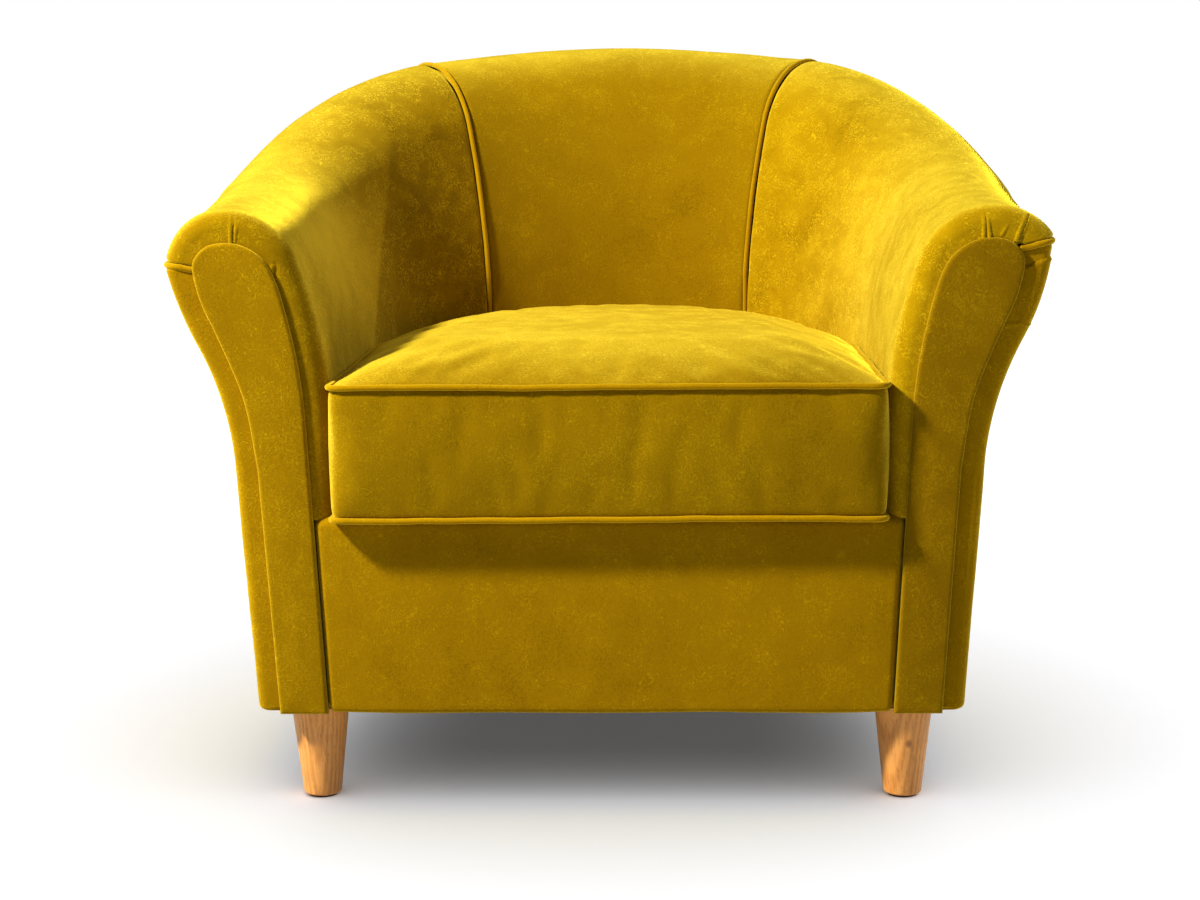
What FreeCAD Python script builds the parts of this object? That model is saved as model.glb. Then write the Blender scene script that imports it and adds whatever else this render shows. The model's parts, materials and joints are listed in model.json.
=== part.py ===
import FreeCAD, Part
import math
import os

from FreeCAD import Vector

# Tub chair with a loose seat cushion, in millimetres.
# The model is drawn with y = 0 on the front of the arm facings, x = 0 in the middle and z = 0 on
# the floor. The front of the chair faces -Y. Every piece is moved back along Y when it is
# written, so that the part's origin lies under the middle of its bounding box.

# Plan of the tub: two straight arms joined by a half circle
seat_half_width = 277.0
bend_depth = 300.0
seam_angle = 34.4

# Height of the rim's top at the front, at the bend, at the back seams and in the middle
arm_height = 603.0
bend_height = 632.0
seam_height = 757.0
back_height = 777.0

# How far the top of the roll lies outside the seat, at the same four places
arm_flare = 103.0
bend_flare = 112.0
seam_flare = 152.0
back_flare = 158.0

# Shape of the flared wall
flare_turn = 20.0
inner_roll_share = 0.742
roll_radius = 58.0
roll_end_turn = 165.5
wall_foot_width = 80.0
wall_lean = 3.6
outer_top_lean = 12.0
outer_flare_drop = 29.0

# Levels above the floor
underside = 100.0
deck_top = 296.7

# Layers of the wall and the clearance between them
cover_thickness = 2.0
gap = 0.3
foam_depth = 30.0
liner_thickness = 2.0
board_thickness = 4.0
rib_clearance = 3.0
piping_radius = 2.9
piping_sink = 1.5
piping_front_sink = 0.5
piping_lift = 0.6
roll_piping_play = 0.85

# Front edges of the arms
arm_face = 8.3
arm_edge_radius = 18.0
outer_edge_radius = 9.0
edge_overlap = 5.0
edge_step = 0.45
station_step = 46.0

# Arm facings
facing_thickness = 8.0
facing_inset = 23.0
facing_roll_inset = 30.0
facing_foot_inside = 9.0
facing_foot_outside = 22.0
facing_bottom = 96.0
facing_edge_radius = 2.5
facing_lean_top = 387.0

# Timber frame
board_width = 20.0
hoop_thickness = 22.0
hoop_inside = 2.0
base_inside = -2.0
seat_hoop_top = 262.0
rear_rail_place = 470.0
rear_rail_height = 52.0
top_rail_half_width = 19.0
top_rail_above = 15.0
top_rail_below = 24.0
corner_block_side = 70.0
corner_block_height = 40.0
side_rail_width = 22.0
rib_places = (160.0, 300.0, 440.0)
post_places = (345.0, 440.0, 535.0)

# Zigzag seat springs
spring_count = 5
spring_spacing = 78.0
spring_wire = 3.8
spring_half_width = 20.0
spring_pitch = 23.0
clip_plate = 1.4
clip_width = 16.0
clip_play = 0.2

# Legs
leg_top_radius = 30.0
leg_foot_radius = 19.3
leg_foot_round = 3.0
front_leg_outset = 23.0
front_leg_y = 42.0
rear_leg_angle = 58.0
rear_leg_inset = 35.0
glide_thickness = 2.0
glide_radius = 15.0
bolt_radius = 4.0
bolt_in_leg = 40.0
nut_radius = 5.6
nut_flange_radius = 9.0
nut_flange = 1.5
nut_length = 18.0
nut_play = 0.1
dust_cover_thickness = 0.8
dust_hole_play = 1.0

# Front rail cover
front_face = 5.0
front_edge_radius = 9.0
front_panel_gap = 2.5
front_return = 24.0

# Seat cushion
cushion_clearance = 2.0
cushion_front = -19.0
cushion_bottom = 297.0
cushion_piping_low = 300.0
cushion_piping_high = 432.0
cushion_crown = 32.0
cushion_corner = 10.0
least_corner = 4.0
foam_shoulder = 8.0
foam_taper = 1.0
cushion_cover = 1.6
draw_in = 3.0
crown_edge = 3.2
crown_rings = (0.0, 0.05, 0.12, 0.22, 0.36, 0.56, 0.8)
crown_fullness = 6.0

# Zip in the back of the cushion's boxing
zip_half_angle = 45.0
zip_tape_end = 4.0
zip_teeth_end = 3.0
zip_tape_height = 20.0
zip_teeth_height = 3.6
zip_teeth_depth = 1.2
slider_length = 12.0
slider_height = 7.0
slider_depth = 1.5
pull_length = 22.0
pull_width = 5.0
pull_thickness = 1.0


# Places worked out from the driving sizes
radius = seat_half_width
bend_t = bend_depth
middle_t = bend_depth + radius * math.pi / 2
seam_t = middle_t - radius * math.radians(seam_angle)
full_t = 2 * middle_t
flare_rad = math.radians(flare_turn)
roll_end_rad = math.radians(roll_end_turn)
lean_rad = math.radians(wall_lean)
top_lean_rad = math.radians(outer_top_lean)
quarter = math.pi / 2
foam_start = cover_thickness + gap
liner_start = foam_depth + gap
inside_cover_foot = deck_top + gap
frame_start = liner_start + liner_thickness + gap
board_start = cover_thickness + gap
frame_outside = board_start + board_thickness + gap
wire_radius = spring_wire / 2
spring_rail_top = seat_hoop_top - 2 * clip_plate - 2 * clip_play - spring_wire
spring_level = spring_rail_top + clip_plate + clip_play + wire_radius
rail_front = arm_face + piping_front_sink + piping_radius + gap
rail_back = rail_front + board_width
leg_top = underside - gap
seam_gap = piping_radius + gap
roll_gap = piping_radius + roll_piping_play
cushion_half = seat_half_width - cushion_clearance
piping_sunk = 2 * piping_radius + gap - cushion_clearance - piping_sink
chair_back = bend_depth + radius + back_flare + roll_radius * math.cos(math.pi - roll_end_rad)
chair_front = cushion_front - piping_radius + piping_sink
middle_y = (chair_back + piping_radius - piping_sink + chair_front) / 2


def between(values, t):
    """Smooth line through the four named values along the rim, level at both ends."""
    places = (0.0, bend_t, seam_t, middle_t)
    t = min(t, full_t - t)
    steps = [(values[i + 1] - values[i]) / (places[i + 1] - places[i]) for i in range(3)]
    slopes = [0.0]
    for before, after in zip(steps, steps[1:]):
        same_way = before * after > 0
        slopes.append(2 * before * after / (before + after) if same_way else 0.0)
    slopes.append(0.0)
    i = 0 if t < bend_t else 1 if t < seam_t else 2
    span = places[i + 1] - places[i]
    u = (t - places[i]) / span
    rise = u * u * (3 - 2 * u)
    start = u * (1 - u) ** 2 * span * slopes[i]
    end = u * u * (u - 1) * span * slopes[i + 1]
    return values[i] + (values[i + 1] - values[i]) * rise + start + end


def rim(t):
    """Height of the roll's top."""
    return between((arm_height, bend_height, seam_height, back_height), t)


def flare(t):
    """Distance of the roll's top outside the seat."""
    return between((arm_flare, bend_flare, seam_flare, back_flare), t)


def place(t, out, z):
    """Point at height z, `out` outside the seat's edge, at distance t along the tub's plan."""
    left_start = bend_t + math.pi * radius
    if t < bend_t:
        return Vector(radius + out, t, z)
    if t > left_start:
        return Vector(-radius - out, bend_t - (t - left_start), z)
    angle = (t - bend_t) / radius
    reach = radius + out
    return Vector(reach * math.cos(angle), bend_depth + reach * math.sin(angle), z)


def along(t):
    """Unit vector along the plan at distance t."""
    angle = min(max((t - bend_t) / radius, 0.0), math.pi)
    return Vector(-math.sin(angle), math.cos(angle), 0)


def on_arc(centre, size, heading):
    """Point of an arc that turns outward, where its direction is `heading` from upright."""
    return (centre[0] - size * math.cos(heading), centre[1] + size * math.sin(heading))


def wall_shape(t):
    """Arc centres and radii of the wall's section at t."""
    top = rim(t)
    out = flare(t)
    tight = out * inner_roll_share
    wide = (out - tight * math.cos(flare_rad)) / (1 - math.cos(flare_rad))
    start = top - wide * math.sin(flare_rad) - tight * (1 - math.sin(flare_rad))
    seam = on_arc((out, top - roll_radius), roll_radius, roll_end_rad)
    return {
        "start": start,
        "wide": wide,
        "wide_centre": (wide, start),
        "tight": tight,
        "tight_centre": (out, top - tight),
        "roll_centre": (out, top - roll_radius),
        "seam": seam,
        "seam_drop": seam[1] - (top - roll_radius),
    }


def inner_path(t, inset, foot):
    """Pieces of the inner face, from its foot over the roll to the seam's level, moved into the wall."""
    s = wall_shape(t)
    wide = s["wide"] - inset
    tight = s["tight"] - inset
    roll = roll_radius - inset
    return [
        ((inset, foot), None, (inset, s["start"])),
        arc_piece(s["wide_centre"], wide, 0, flare_rad),
        arc_piece(s["tight_centre"], tight, flare_rad, quarter),
        arc_piece(s["roll_centre"], roll, quarter, math.pi - math.asin(s["seam_drop"] / roll)),
    ]


def arc_piece(centre, size, first, last):
    """Start, middle and end of an arc between two headings."""
    middle = (first + last) / 2
    return (on_arc(centre, size, first), on_arc(centre, size, middle), on_arc(centre, size, last))


def outer_path(t, inset, foot):
    """Pieces of the outer face, from its foot up to the seam under the roll."""
    s = wall_shape(t)
    low = s["start"] - outer_flare_drop
    first = (wall_foot_width + (low - underside) * math.tan(lean_rad), low)
    last = (s["seam"][0] - piping_sink, s["seam"][1] - 2 * roll_gap)
    rise = last[1] - first[1]
    slant = math.atan((last[0] - first[0]) / rise)
    mean = (math.cos(lean_rad - slant) + math.cos(top_lean_rad - slant)) / 2
    steep = slant + math.acos(mean)
    bend = rise / (2 * math.sin(steep) - math.sin(lean_rad) - math.sin(top_lean_rad))
    low_centre = (first[0] + bend * math.cos(lean_rad), first[1] - bend * math.sin(lean_rad))
    turn = on_arc(low_centre, bend, steep)
    high_centre = (turn[0] - bend * math.cos(steep), turn[1] + bend * math.sin(steep))
    lower = arc_piece(low_centre, bend + inset, lean_rad, steep)
    end = math.asin((high_centre[1] - last[1]) / (bend - inset))
    upper = tuple(
        (high_centre[0] + (bend - inset) * math.cos(a), high_centre[1] - (bend - inset) * math.sin(a))
        for a in (steep, (steep + end) / 2, end)
    )
    start = (lower[0][0] - (lower[0][1] - foot) * math.tan(lean_rad), foot)
    return [(start, None, lower[0]), lower, upper]


def edges_at(t, pieces):
    """Edges in space of the pieces of a section at t."""
    edges = []
    for first, middle, last in pieces:
        a = place(t, *first)
        b = place(t, *last)
        if middle is None:
            edges.append(Part.LineSegment(a, b).toShape())
        else:
            edges.append(Part.Arc(a, place(t, *middle), b).toShape())
    return edges


def reverse(pieces):
    """The same path, walked the other way."""
    return [(last, middle, first) for first, middle, last in reversed(pieces)]


def closed_section(t, first_path, second_path):
    """Wire round the space between two paths that run the same way."""
    back = reverse(second_path)
    pieces = first_path + [(first_path[-1][2], None, back[0][0])]
    pieces += back + [(back[-1][2], None, first_path[0][0])]
    return Part.Wire(edges_at(t, pieces))


def inner_ring(t, low, high):
    """Section of one layer of the inner wall, between two insets."""
    foot = inside_cover_foot
    return closed_section(t, inner_path(t, low, foot), inner_path(t, high, foot))


def outer_ring(t, low, high):
    """Section of one layer of the outer wall, between two insets."""
    return closed_section(t, outer_path(t, low, underside), outer_path(t, high, underside))


def stations(first, last):
    """Evenly spaced places along the plan, because uneven ones make a loft swing out."""
    count = math.ceil((last - first) / station_step)
    return [first + (last - first) * i / count for i in range(count + 1)]


def arm_stations(first):
    """Places along an arm, as far as its back seam."""
    return stations(first, seam_t - seam_gap)


def back_stations():
    """Places along the right half of the back, from its seam to a little past the middle."""
    return stations(seam_t + seam_gap, middle_t + station_step)


def layer(ring, places, low, high):
    """One layer of the wall, lofted through its sections."""
    return Part.makeLoft([ring(t, low, high) for t in places], True, False)


def rounded_inset(depth, size, skin):
    """Inset of a rounded front edge at a depth behind its face, `skin` below the surface."""
    inner = size - skin
    reach = size - depth
    return size - math.sqrt(max(inner * inner - reach * reach, 0.0))


def front_cover(ring, size):
    """Rounded front end of a cover: its band on the arm's face and the turn over the edge."""
    turn = size * edge_step
    sections = [
        ring(arm_face, size, size + edge_overlap),
        ring(arm_face + cover_thickness, rounded_inset(cover_thickness, size, 0), size + edge_overlap - gap),
        ring(arm_face + turn, rounded_inset(turn, size, 0), rounded_inset(turn, size, cover_thickness)),
        ring(arm_face + size, 0, cover_thickness),
    ]
    return Part.makeLoft(sections, True, True)


def front_filling(ring, size, high):
    """Rounded front end of the layer under a cover."""
    turn = size * edge_step
    sections = [
        ring(arm_face + cover_thickness + gap, size + edge_overlap + gap, high),
        ring(arm_face + turn, rounded_inset(turn, size, cover_thickness) + 2 * gap, high),
        ring(arm_face + size, cover_thickness + gap, high),
    ]
    return Part.makeLoft(sections, True, True)


def mirrored(shape):
    """The same shape on the other side of the chair."""
    return shape.mirror(Vector(0, 0, 0), Vector(1, 0, 0))


def both_halves(shape):
    """The right half of a shape that runs past the middle, joined to its mirror image."""
    span = 2 * chair_back
    half = shape.common(box(0, span, -span, span, 0, span))
    return half.fuse(mirrored(half))


def tub_wire(out, z, front):
    """Edges of the tub's plan at an offset, from the right front round to the left front."""
    reach = radius + out
    back = math.sqrt(0.5) * reach
    right = Vector(reach, bend_depth, z)
    left = Vector(-reach, bend_depth, z)
    rear = Vector(0, bend_depth + reach, z)
    return [
        Part.LineSegment(Vector(reach, front, z), right).toShape(),
        Part.Arc(right, Vector(back, bend_depth + back, z), rear).toShape(),
        Part.Arc(rear, Vector(-back, bend_depth + back, z), left).toShape(),
        Part.LineSegment(left, Vector(-reach, front, z)).toShape(),
    ]


def tub_plate(out, low, high, front):
    """Flat plate with the tub's plan, closed by a straight front."""
    edges = tub_wire(out, low, front)
    edges.append(Part.LineSegment(edges[-1].Vertexes[-1].Point, edges[0].Vertexes[0].Point).toShape())
    return Part.Face(Part.Wire(edges)).extrude(Vector(0, 0, high - low))


def box(x0, x1, y0, y1, z0, z1):
    """Box between its lowest and highest corner."""
    return Part.makeBox(x1 - x0, y1 - y0, z1 - z0, Vector(x0, y0, z0))


def hoop(inside, outside, low, high, front):
    """U-shaped plywood hoop between two offsets of the tub's plan."""
    hollow = tub_plate(inside, low - gap, high + gap, front - gap)
    return tub_plate(outside, low, high, front).cut(hollow)


def standing(t, thickness, pieces):
    """Flat board that stands square to the plan at t."""
    face = Part.Face(Part.Wire(edges_at(t, pieces)))
    way = along(t)
    face.translate(way * (-thickness / 2))
    return face.extrude(way * thickness)


def frame_outline(t, clearance, foot):
    """Outline of the timber inside the wall at t."""
    inner = inner_path(t, frame_start + clearance, foot)
    back = reverse(outer_path(t, frame_outside + clearance, foot))
    pieces = inner + [(inner[-1][2], None, back[0][0])]
    return pieces + back + [(back[-1][2], None, inner[0][0])]


def outer_offset(z):
    """Offset of the wall's outer face at a height below the flare."""
    return wall_foot_width + (z - underside) * math.tan(lean_rad)


def facing_inset_at(heading):
    """Inset of the facing's edge, wider round the roll."""
    grow = min(max((heading - flare_rad) / (quarter - flare_rad), 0.0), 1.0)
    return facing_inset + (facing_roll_inset - facing_inset) * grow


def facing_points(extra):
    """Points of the facing's curved edge, from the inner side over the roll to the outer side."""
    s = wall_shape(arm_face)
    points = []
    for heading in (0.25 * flare_rad, 0.6 * flare_rad, flare_rad):
        size = s["wide"] - facing_inset_at(heading) - extra
        points.append(on_arc(s["wide_centre"], size, heading))
    for share in (0.35, 0.7, 1.0):
        heading = flare_rad + (quarter - flare_rad) * share
        size = s["tight"] - facing_inset_at(heading) - extra
        points.append(on_arc(s["tight_centre"], size, heading))
    for share in (0.34, 0.68, 1.0):
        heading = quarter + (roll_end_rad - quarter) * share
        size = roll_radius - facing_inset_at(heading) - extra
        points.append(on_arc(s["roll_centre"], size, heading))
    upper = outer_path(arm_face, facing_inset + extra, underside)[2]
    lower = outer_path(arm_face, facing_inset + extra, underside)[1]
    points += [upper[1], upper[0], lower[1], lower[0]]
    return points


def facing_face(extra, y):
    """Face of the facing's outline, made smaller by `extra`, at depth y."""
    curve_points = [Vector(radius + out, y, z) for out, z in facing_points(extra)]
    foot = facing_bottom + extra
    outside = outer_offset(foot) - facing_foot_outside - extra
    inside = Vector(radius + facing_foot_inside + extra, y, foot)
    outer = Vector(radius + outside, y, foot)
    curve = Part.BSplineCurve()
    curve.interpolate([Vector(radius + facing_inset + extra, y, facing_lean_top)] + curve_points)
    edges = [
        Part.LineSegment(inside, curve.StartPoint).toShape(),
        curve.toShape(),
        Part.LineSegment(curve.EndPoint, outer).toShape(),
        Part.LineSegment(outer, inside).toShape(),
    ]
    return Part.Face(Part.Wire(edges))


def make_facing():
    """Cover and board of the right arm's facing."""
    body = facing_face(0, 0).extrude(Vector(0, facing_thickness, 0))
    front_edges = [e for e in body.Edges if all(abs(v.Y) < 0.01 for v in e.Vertexes)]
    body = body.makeFillet(facing_edge_radius, front_edges)
    hollow = facing_face(cover_thickness, cover_thickness).extrude(Vector(0, facing_thickness, 0))
    start = cover_thickness + gap
    board = facing_face(start, start).extrude(Vector(0, facing_thickness - start, 0))
    return body.cut(hollow), board


def make_wall_layers():
    """Covers, foam, liner and boards of both arms and the back."""
    parts = {}
    arm = arm_stations(arm_face + arm_edge_radius)
    back = back_stations()
    cover = front_cover(inner_ring, arm_edge_radius).fuse(layer(inner_ring, arm, 0, cover_thickness))
    foam = front_filling(inner_ring, arm_edge_radius, foam_depth)
    foam = foam.fuse(layer(inner_ring, arm, foam_start, foam_depth))
    liner_end = liner_start + liner_thickness
    liner = layer(inner_ring, arm_stations(rail_back + gap), liner_start, liner_end)
    outer = arm_stations(arm_face + outer_edge_radius)
    outside = front_cover(outer_ring, outer_edge_radius).fuse(layer(outer_ring, outer, 0, cover_thickness))
    board_end = board_start + board_thickness
    board = layer(outer_ring, outer, board_start, board_end)
    arm_pieces = {
        "inside_arm_cover": cover,
        "arm_foam": foam,
        "arm_liner": liner,
        "outside_arm_cover": outside,
        "outside_arm_board": board,
    }
    for name, shape in arm_pieces.items():
        parts[name + "_right"] = shape
        parts[name + "_left"] = mirrored(shape)
    parts["inside_back_cover"] = layer(inner_ring, back, 0, cover_thickness)
    parts["back_foam"] = layer(inner_ring, back, foam_start, foam_depth)
    parts["back_liner"] = layer(inner_ring, back, liner_start, liner_end)
    parts["outside_back_cover"] = layer(outer_ring, back, 0, cover_thickness)
    parts["outside_back_board"] = layer(outer_ring, back, board_start, board_end)
    for name in [n for n in parts if "back" in n]:
        parts[name] = both_halves(parts[name])
    return parts


def circle_at(t, out, z, size):
    """Circle square to the plan at t, which starts on its outer side."""
    upper = ((out + size, z), (out, z + size), (out - size, z))
    lower = ((out - size, z), (out, z - size), (out + size, z))
    return Part.Wire(edges_at(t, [upper, lower]))


def piping_end(first, turn):
    """Front end of the roll's piping, which turns round the arm's edge and runs to the facing."""
    seam = wall_shape(first)["seam"]
    out = seam[0] - piping_sink
    level = seam[1] - roll_gap
    half = turn * (1 - math.sqrt(0.5))
    stop = facing_points(0)[-4][0] - piping_radius
    path = Part.Wire([
        Part.Arc(place(first, out, level), place(first - turn + half, out - half, level),
                 place(first - turn, out - turn, level)).toShape(),
        Part.LineSegment(place(first - turn, out - turn, level), place(first - turn, stop, level)).toShape(),
    ])
    ring = circle_at(first, out, level, piping_radius)
    room = facing_face(-gap, 0).extrude(Vector(0, facing_thickness + gap, 0))
    return path.makePipeShell([ring], True, False).cut(room)


def make_piping():
    """Piping over the two back seams and round the chair under the roll."""
    s = wall_shape(seam_t)
    raised = s["wide"] + piping_lift
    leave = math.acos((s["wide"] - piping_sunk) / raised)
    pieces = inner_path(seam_t, -piping_lift, inside_cover_foot)
    pieces[0] = ((piping_sunk, inside_cover_foot), None, on_arc(s["wide_centre"], raised, leave))
    pieces[1] = arc_piece(s["wide_centre"], raised, leave, flare_rad)
    path = Part.Wire(edges_at(seam_t, pieces))
    start = path.Vertexes[0].Point
    ring = Part.Wire([Part.Circle(start, Vector(0, 0, 1), piping_radius).toShape()])
    right = path.makePipeShell([ring], True, False)
    outside = outer_path(seam_t, -piping_lift, underside)
    outside_path = Part.Wire(edges_at(seam_t, outside))
    lean = outside_path.Edges[0].tangentAt(outside_path.Edges[0].FirstParameter)
    ring = Part.Wire([Part.Circle(outside_path.Vertexes[0].Point, lean, piping_radius).toShape()])
    outside_right = outside_path.makePipeShell([ring], True, False)
    turn = arm_edge_radius - piping_sink
    first = arm_face + piping_front_sink + turn
    rings = []
    for t in stations(first, middle_t + station_step):
        seam = wall_shape(t)["seam"]
        rings.append(circle_at(t, seam[0] - piping_sink, seam[1] - roll_gap, piping_radius))
    roll = Part.makeLoft(rings, True, False).fuse(piping_end(first, turn))
    return {
        "back_piping_right": right,
        "back_piping_left": mirrored(right),
        "outside_piping_right": outside_right,
        "outside_piping_left": mirrored(outside_right),
        "roll_piping": both_halves(roll),
    }


def rib(t):
    """Plywood rib from the seat hoop up to the top rail."""
    reach = board_width / 2
    low = min(rim(t - reach), rim(t + reach))
    top = low - roll_radius - top_rail_below - gap
    shape = standing(t, board_width, frame_outline(t, rib_clearance, seat_hoop_top + gap))
    span = 2 * (seat_half_width + bend_depth + back_flare)
    return shape.common(box(-span, span, -span, 2 * span, 0, top))


def post(t):
    """Short post between the base hoop and the seat hoop."""
    outside = wall_foot_width - frame_outside - rib_clearance
    inside = frame_start + rib_clearance
    low = underside + hoop_thickness + gap
    high = seat_hoop_top - hoop_thickness - gap
    corners = ((inside, low), (inside, high), (outside, high), (outside, low))
    pieces = [(a, None, b) for a, b in zip(corners, corners[1:] + corners[:1])]
    return standing(t, board_width, pieces)


def both_sides(make, places):
    """Solids at places on the right, the same on the left, and one in the middle of the back."""
    solids = [make(t) for t in places]
    solids += [mirrored(s) for s in solids]
    return Part.makeCompound(solids + [make(middle_t)])


def leg_places():
    """Centres of the four legs."""
    angle = math.radians(rear_leg_angle)
    reach = radius + rear_leg_inset
    rear = (reach * math.cos(angle), bend_depth + reach * math.sin(angle))
    front = (radius + front_leg_outset, front_leg_y)
    return {
        "leg_front_left": (-front[0], front[1]),
        "leg_front_right": front,
        "leg_rear_left": (-rear[0], rear[1]),
        "leg_rear_right": rear,
    }


def make_leg(x, y):
    """Tapered leg with a rounded foot and a hole for its hanger bolt."""
    low = glide_thickness + gap
    cone = Part.makeCone(
        leg_foot_radius, leg_top_radius, leg_top - low, Vector(x, y, low), Vector(0, 0, 1)
    )
    foot_edges = [e for e in cone.Edges if all(abs(v.Z - low) < 0.01 for v in e.Vertexes)]
    cone = cone.makeFillet(leg_foot_round, foot_edges)
    depth = bolt_in_leg + gap
    hole = Part.makeCylinder(bolt_radius + gap, 2 * depth, Vector(x, y, leg_top - depth))
    return cone.cut(hole)


def hanger_bolt(x, y):
    """Bolt between a leg and its nut."""
    low = leg_top - bolt_in_leg
    high = underside + hoop_thickness
    return Part.makeCylinder(bolt_radius, high - low, Vector(x, y, low))


def tee_nut(x, y):
    """Nut let into the base hoop, with its flange on top."""
    top = underside + hoop_thickness
    barrel = Part.makeCylinder(nut_radius, nut_length, Vector(x, y, top - nut_length))
    flange = Part.makeCylinder(nut_flange_radius, nut_flange, Vector(x, y, top + nut_play))
    bridge = Part.makeCylinder(nut_radius, nut_flange, Vector(x, y, top - nut_play))
    bore = Part.makeCylinder(bolt_radius + gap / 2, 2 * hoop_thickness, Vector(x, y, underside - gap))
    return barrel.fuse(bridge).fuse(flange).cut(bore)


def make_legs():
    """Legs, glides, hanger bolts and nuts."""
    parts = {name: make_leg(*spot) for name, spot in leg_places().items()}
    spots = list(leg_places().values())
    glides = [Part.makeCylinder(glide_radius, glide_thickness, Vector(x, y, 0)) for x, y in spots]
    parts["leg_glides"] = Part.makeCompound(glides)
    parts["leg_bolts"] = Part.makeCompound([hanger_bolt(x, y) for x, y in spots])
    parts["leg_nuts"] = Part.makeCompound([tee_nut(x, y) for x, y in spots])
    return parts


def make_frame():
    """Rails, hoops, posts, ribs and blocks of the timber frame."""
    parts = {}
    side = seat_half_width + frame_start
    front_rail = box(-side + gap, side - gap, rail_front, rail_back, underside, spring_rail_top)
    parts["front_rail"] = front_rail
    start = rail_back + gap
    base = hoop(base_inside, outer_offset(underside) - frame_outside, underside,
                underside + hoop_thickness, start)
    for x, y in leg_places().values():
        base = base.cut(Part.makeCylinder(nut_radius + gap, 2 * hoop_thickness, Vector(x, y, underside - gap)))
    parts["base_hoop"] = base
    seat_low = seat_hoop_top - hoop_thickness
    seat_hoop = hoop(hoop_inside, outer_offset(seat_low) - frame_outside, seat_low, seat_hoop_top, start)
    parts["seat_hoop"] = seat_hoop
    reach = tub_plate(hoop_inside - gap, 0, seat_hoop_top, start)
    rear = box(-2 * side, 2 * side, rear_rail_place, rear_rail_place + board_width,
               spring_rail_top - rear_rail_height, spring_rail_top)
    parts["rear_seat_rail"] = rear.common(reach)
    low = underside + hoop_thickness + gap
    rail_inside = side + rib_clearance
    side_rail = box(rail_inside, rail_inside + side_rail_width, start, bend_depth, low, seat_low - gap)
    parts["side_rail_right"] = side_rail
    parts["side_rail_left"] = mirrored(side_rail)
    corner = Vector(rail_inside - gap, rail_back + gap, low)
    legs = [corner, corner - Vector(corner_block_side, 0, 0), corner + Vector(0, corner_block_side, 0)]
    block = Part.Face(Part.makePolygon(legs + [corner])).extrude(Vector(0, 0, corner_block_height))
    clear = nut_flange_radius + gap
    front_leg = Vector(*leg_places()["leg_front_right"], low - nut_flange)
    block = block.cut(Part.makeCylinder(clear, 3 * nut_flange, front_leg))
    parts["corner_blocks"] = Part.makeCompound([block, mirrored(block)])
    arm_post = Part.Face(Part.Wire(edges_at(rail_front, frame_outline(rail_front, 0, underside))))
    arm_post = arm_post.extrude(Vector(0, board_width, 0))
    parts["arm_post_right"] = arm_post
    parts["arm_post_left"] = mirrored(arm_post)
    parts["upper_ribs"] = both_sides(rib, rib_places + (seam_t,))
    parts["lower_posts"] = both_sides(post, post_places)
    parts["top_rail"] = make_top_rail()
    return parts


def make_top_rail():
    """Bent rail inside the roll, all round the rim."""
    start = rail_back + gap
    sections = []
    for t in stations(start, full_t - start):
        out = flare(t)
        level = rim(t) - roll_radius
        low = level - top_rail_below
        high = level + top_rail_above
        inside = out - top_rail_half_width
        outside = out + top_rail_half_width
        corners = ((inside, low), (inside, high), (outside, high), (outside, low), (inside, low))
        sections.append(Part.makePolygon([place(t, *corner) for corner in corners]))
    return Part.makeLoft(sections, True, False)


def spring_ends():
    """First and last bar of each zigzag spring."""
    first = rail_front + board_width / 2
    bars = int((rear_rail_place + board_width / 2 - first) / spring_pitch)
    return first, bars


def make_spring(x):
    """One zigzag spring, laid from the front rail to the rear seat rail."""
    first, bars = spring_ends()
    pitch = (rear_rail_place + board_width / 2 - first) / bars
    edges = []
    for i in range(bars + 1):
        side = 1 if i % 2 == 0 else -1
        y = first + i * pitch
        a = Vector(x - side * spring_half_width, y, spring_level)
        b = Vector(x + side * spring_half_width, y, spring_level)
        edges.append(Part.LineSegment(a, b).toShape())
        if i < bars:
            bulge = b + Vector(side * pitch / 2, pitch / 2, 0)
            edges.append(Part.Arc(b, bulge, b + Vector(0, pitch, 0)).toShape())
    path = Part.Wire(edges)
    ring = Part.Wire([Part.Circle(path.Vertexes[0].Point, Vector(1, 0, 0), wire_radius).toShape()])
    return path.makePipeShell([ring], True, False)


def make_clip(x, y, side):
    """Folded clip that holds a spring's end bar; `side` is the way its closed side faces."""
    open_height = spring_wire + 2 * clip_play
    high = spring_rail_top + 2 * clip_plate + open_height
    reach = wire_radius + clip_play
    outside = box(x - clip_width / 2, x + clip_width / 2, y - reach - clip_plate, y + reach + clip_plate,
                  spring_rail_top, high)
    low = spring_rail_top + clip_plate
    shift = clip_plate if side < 0 else -clip_plate
    hollow = box(x - clip_width, x + clip_width, y - reach, y + reach, low, low + open_height)
    mouth = hollow.copy()
    mouth.translate(Vector(0, shift, 0))
    return outside.cut(hollow).cut(mouth)


def make_springs():
    """Zigzag springs and their clips."""
    places = [(i - (spring_count - 1) / 2) * spring_spacing for i in range(spring_count)]
    first, _ = spring_ends()
    last = rear_rail_place + board_width / 2
    clips = [make_clip(x, first, -1) for x in places] + [make_clip(x, last, 1) for x in places]
    return {
        "seat_springs": Part.makeCompound([make_spring(x) for x in places]),
        "spring_clips": Part.makeCompound(clips),
    }


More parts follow.
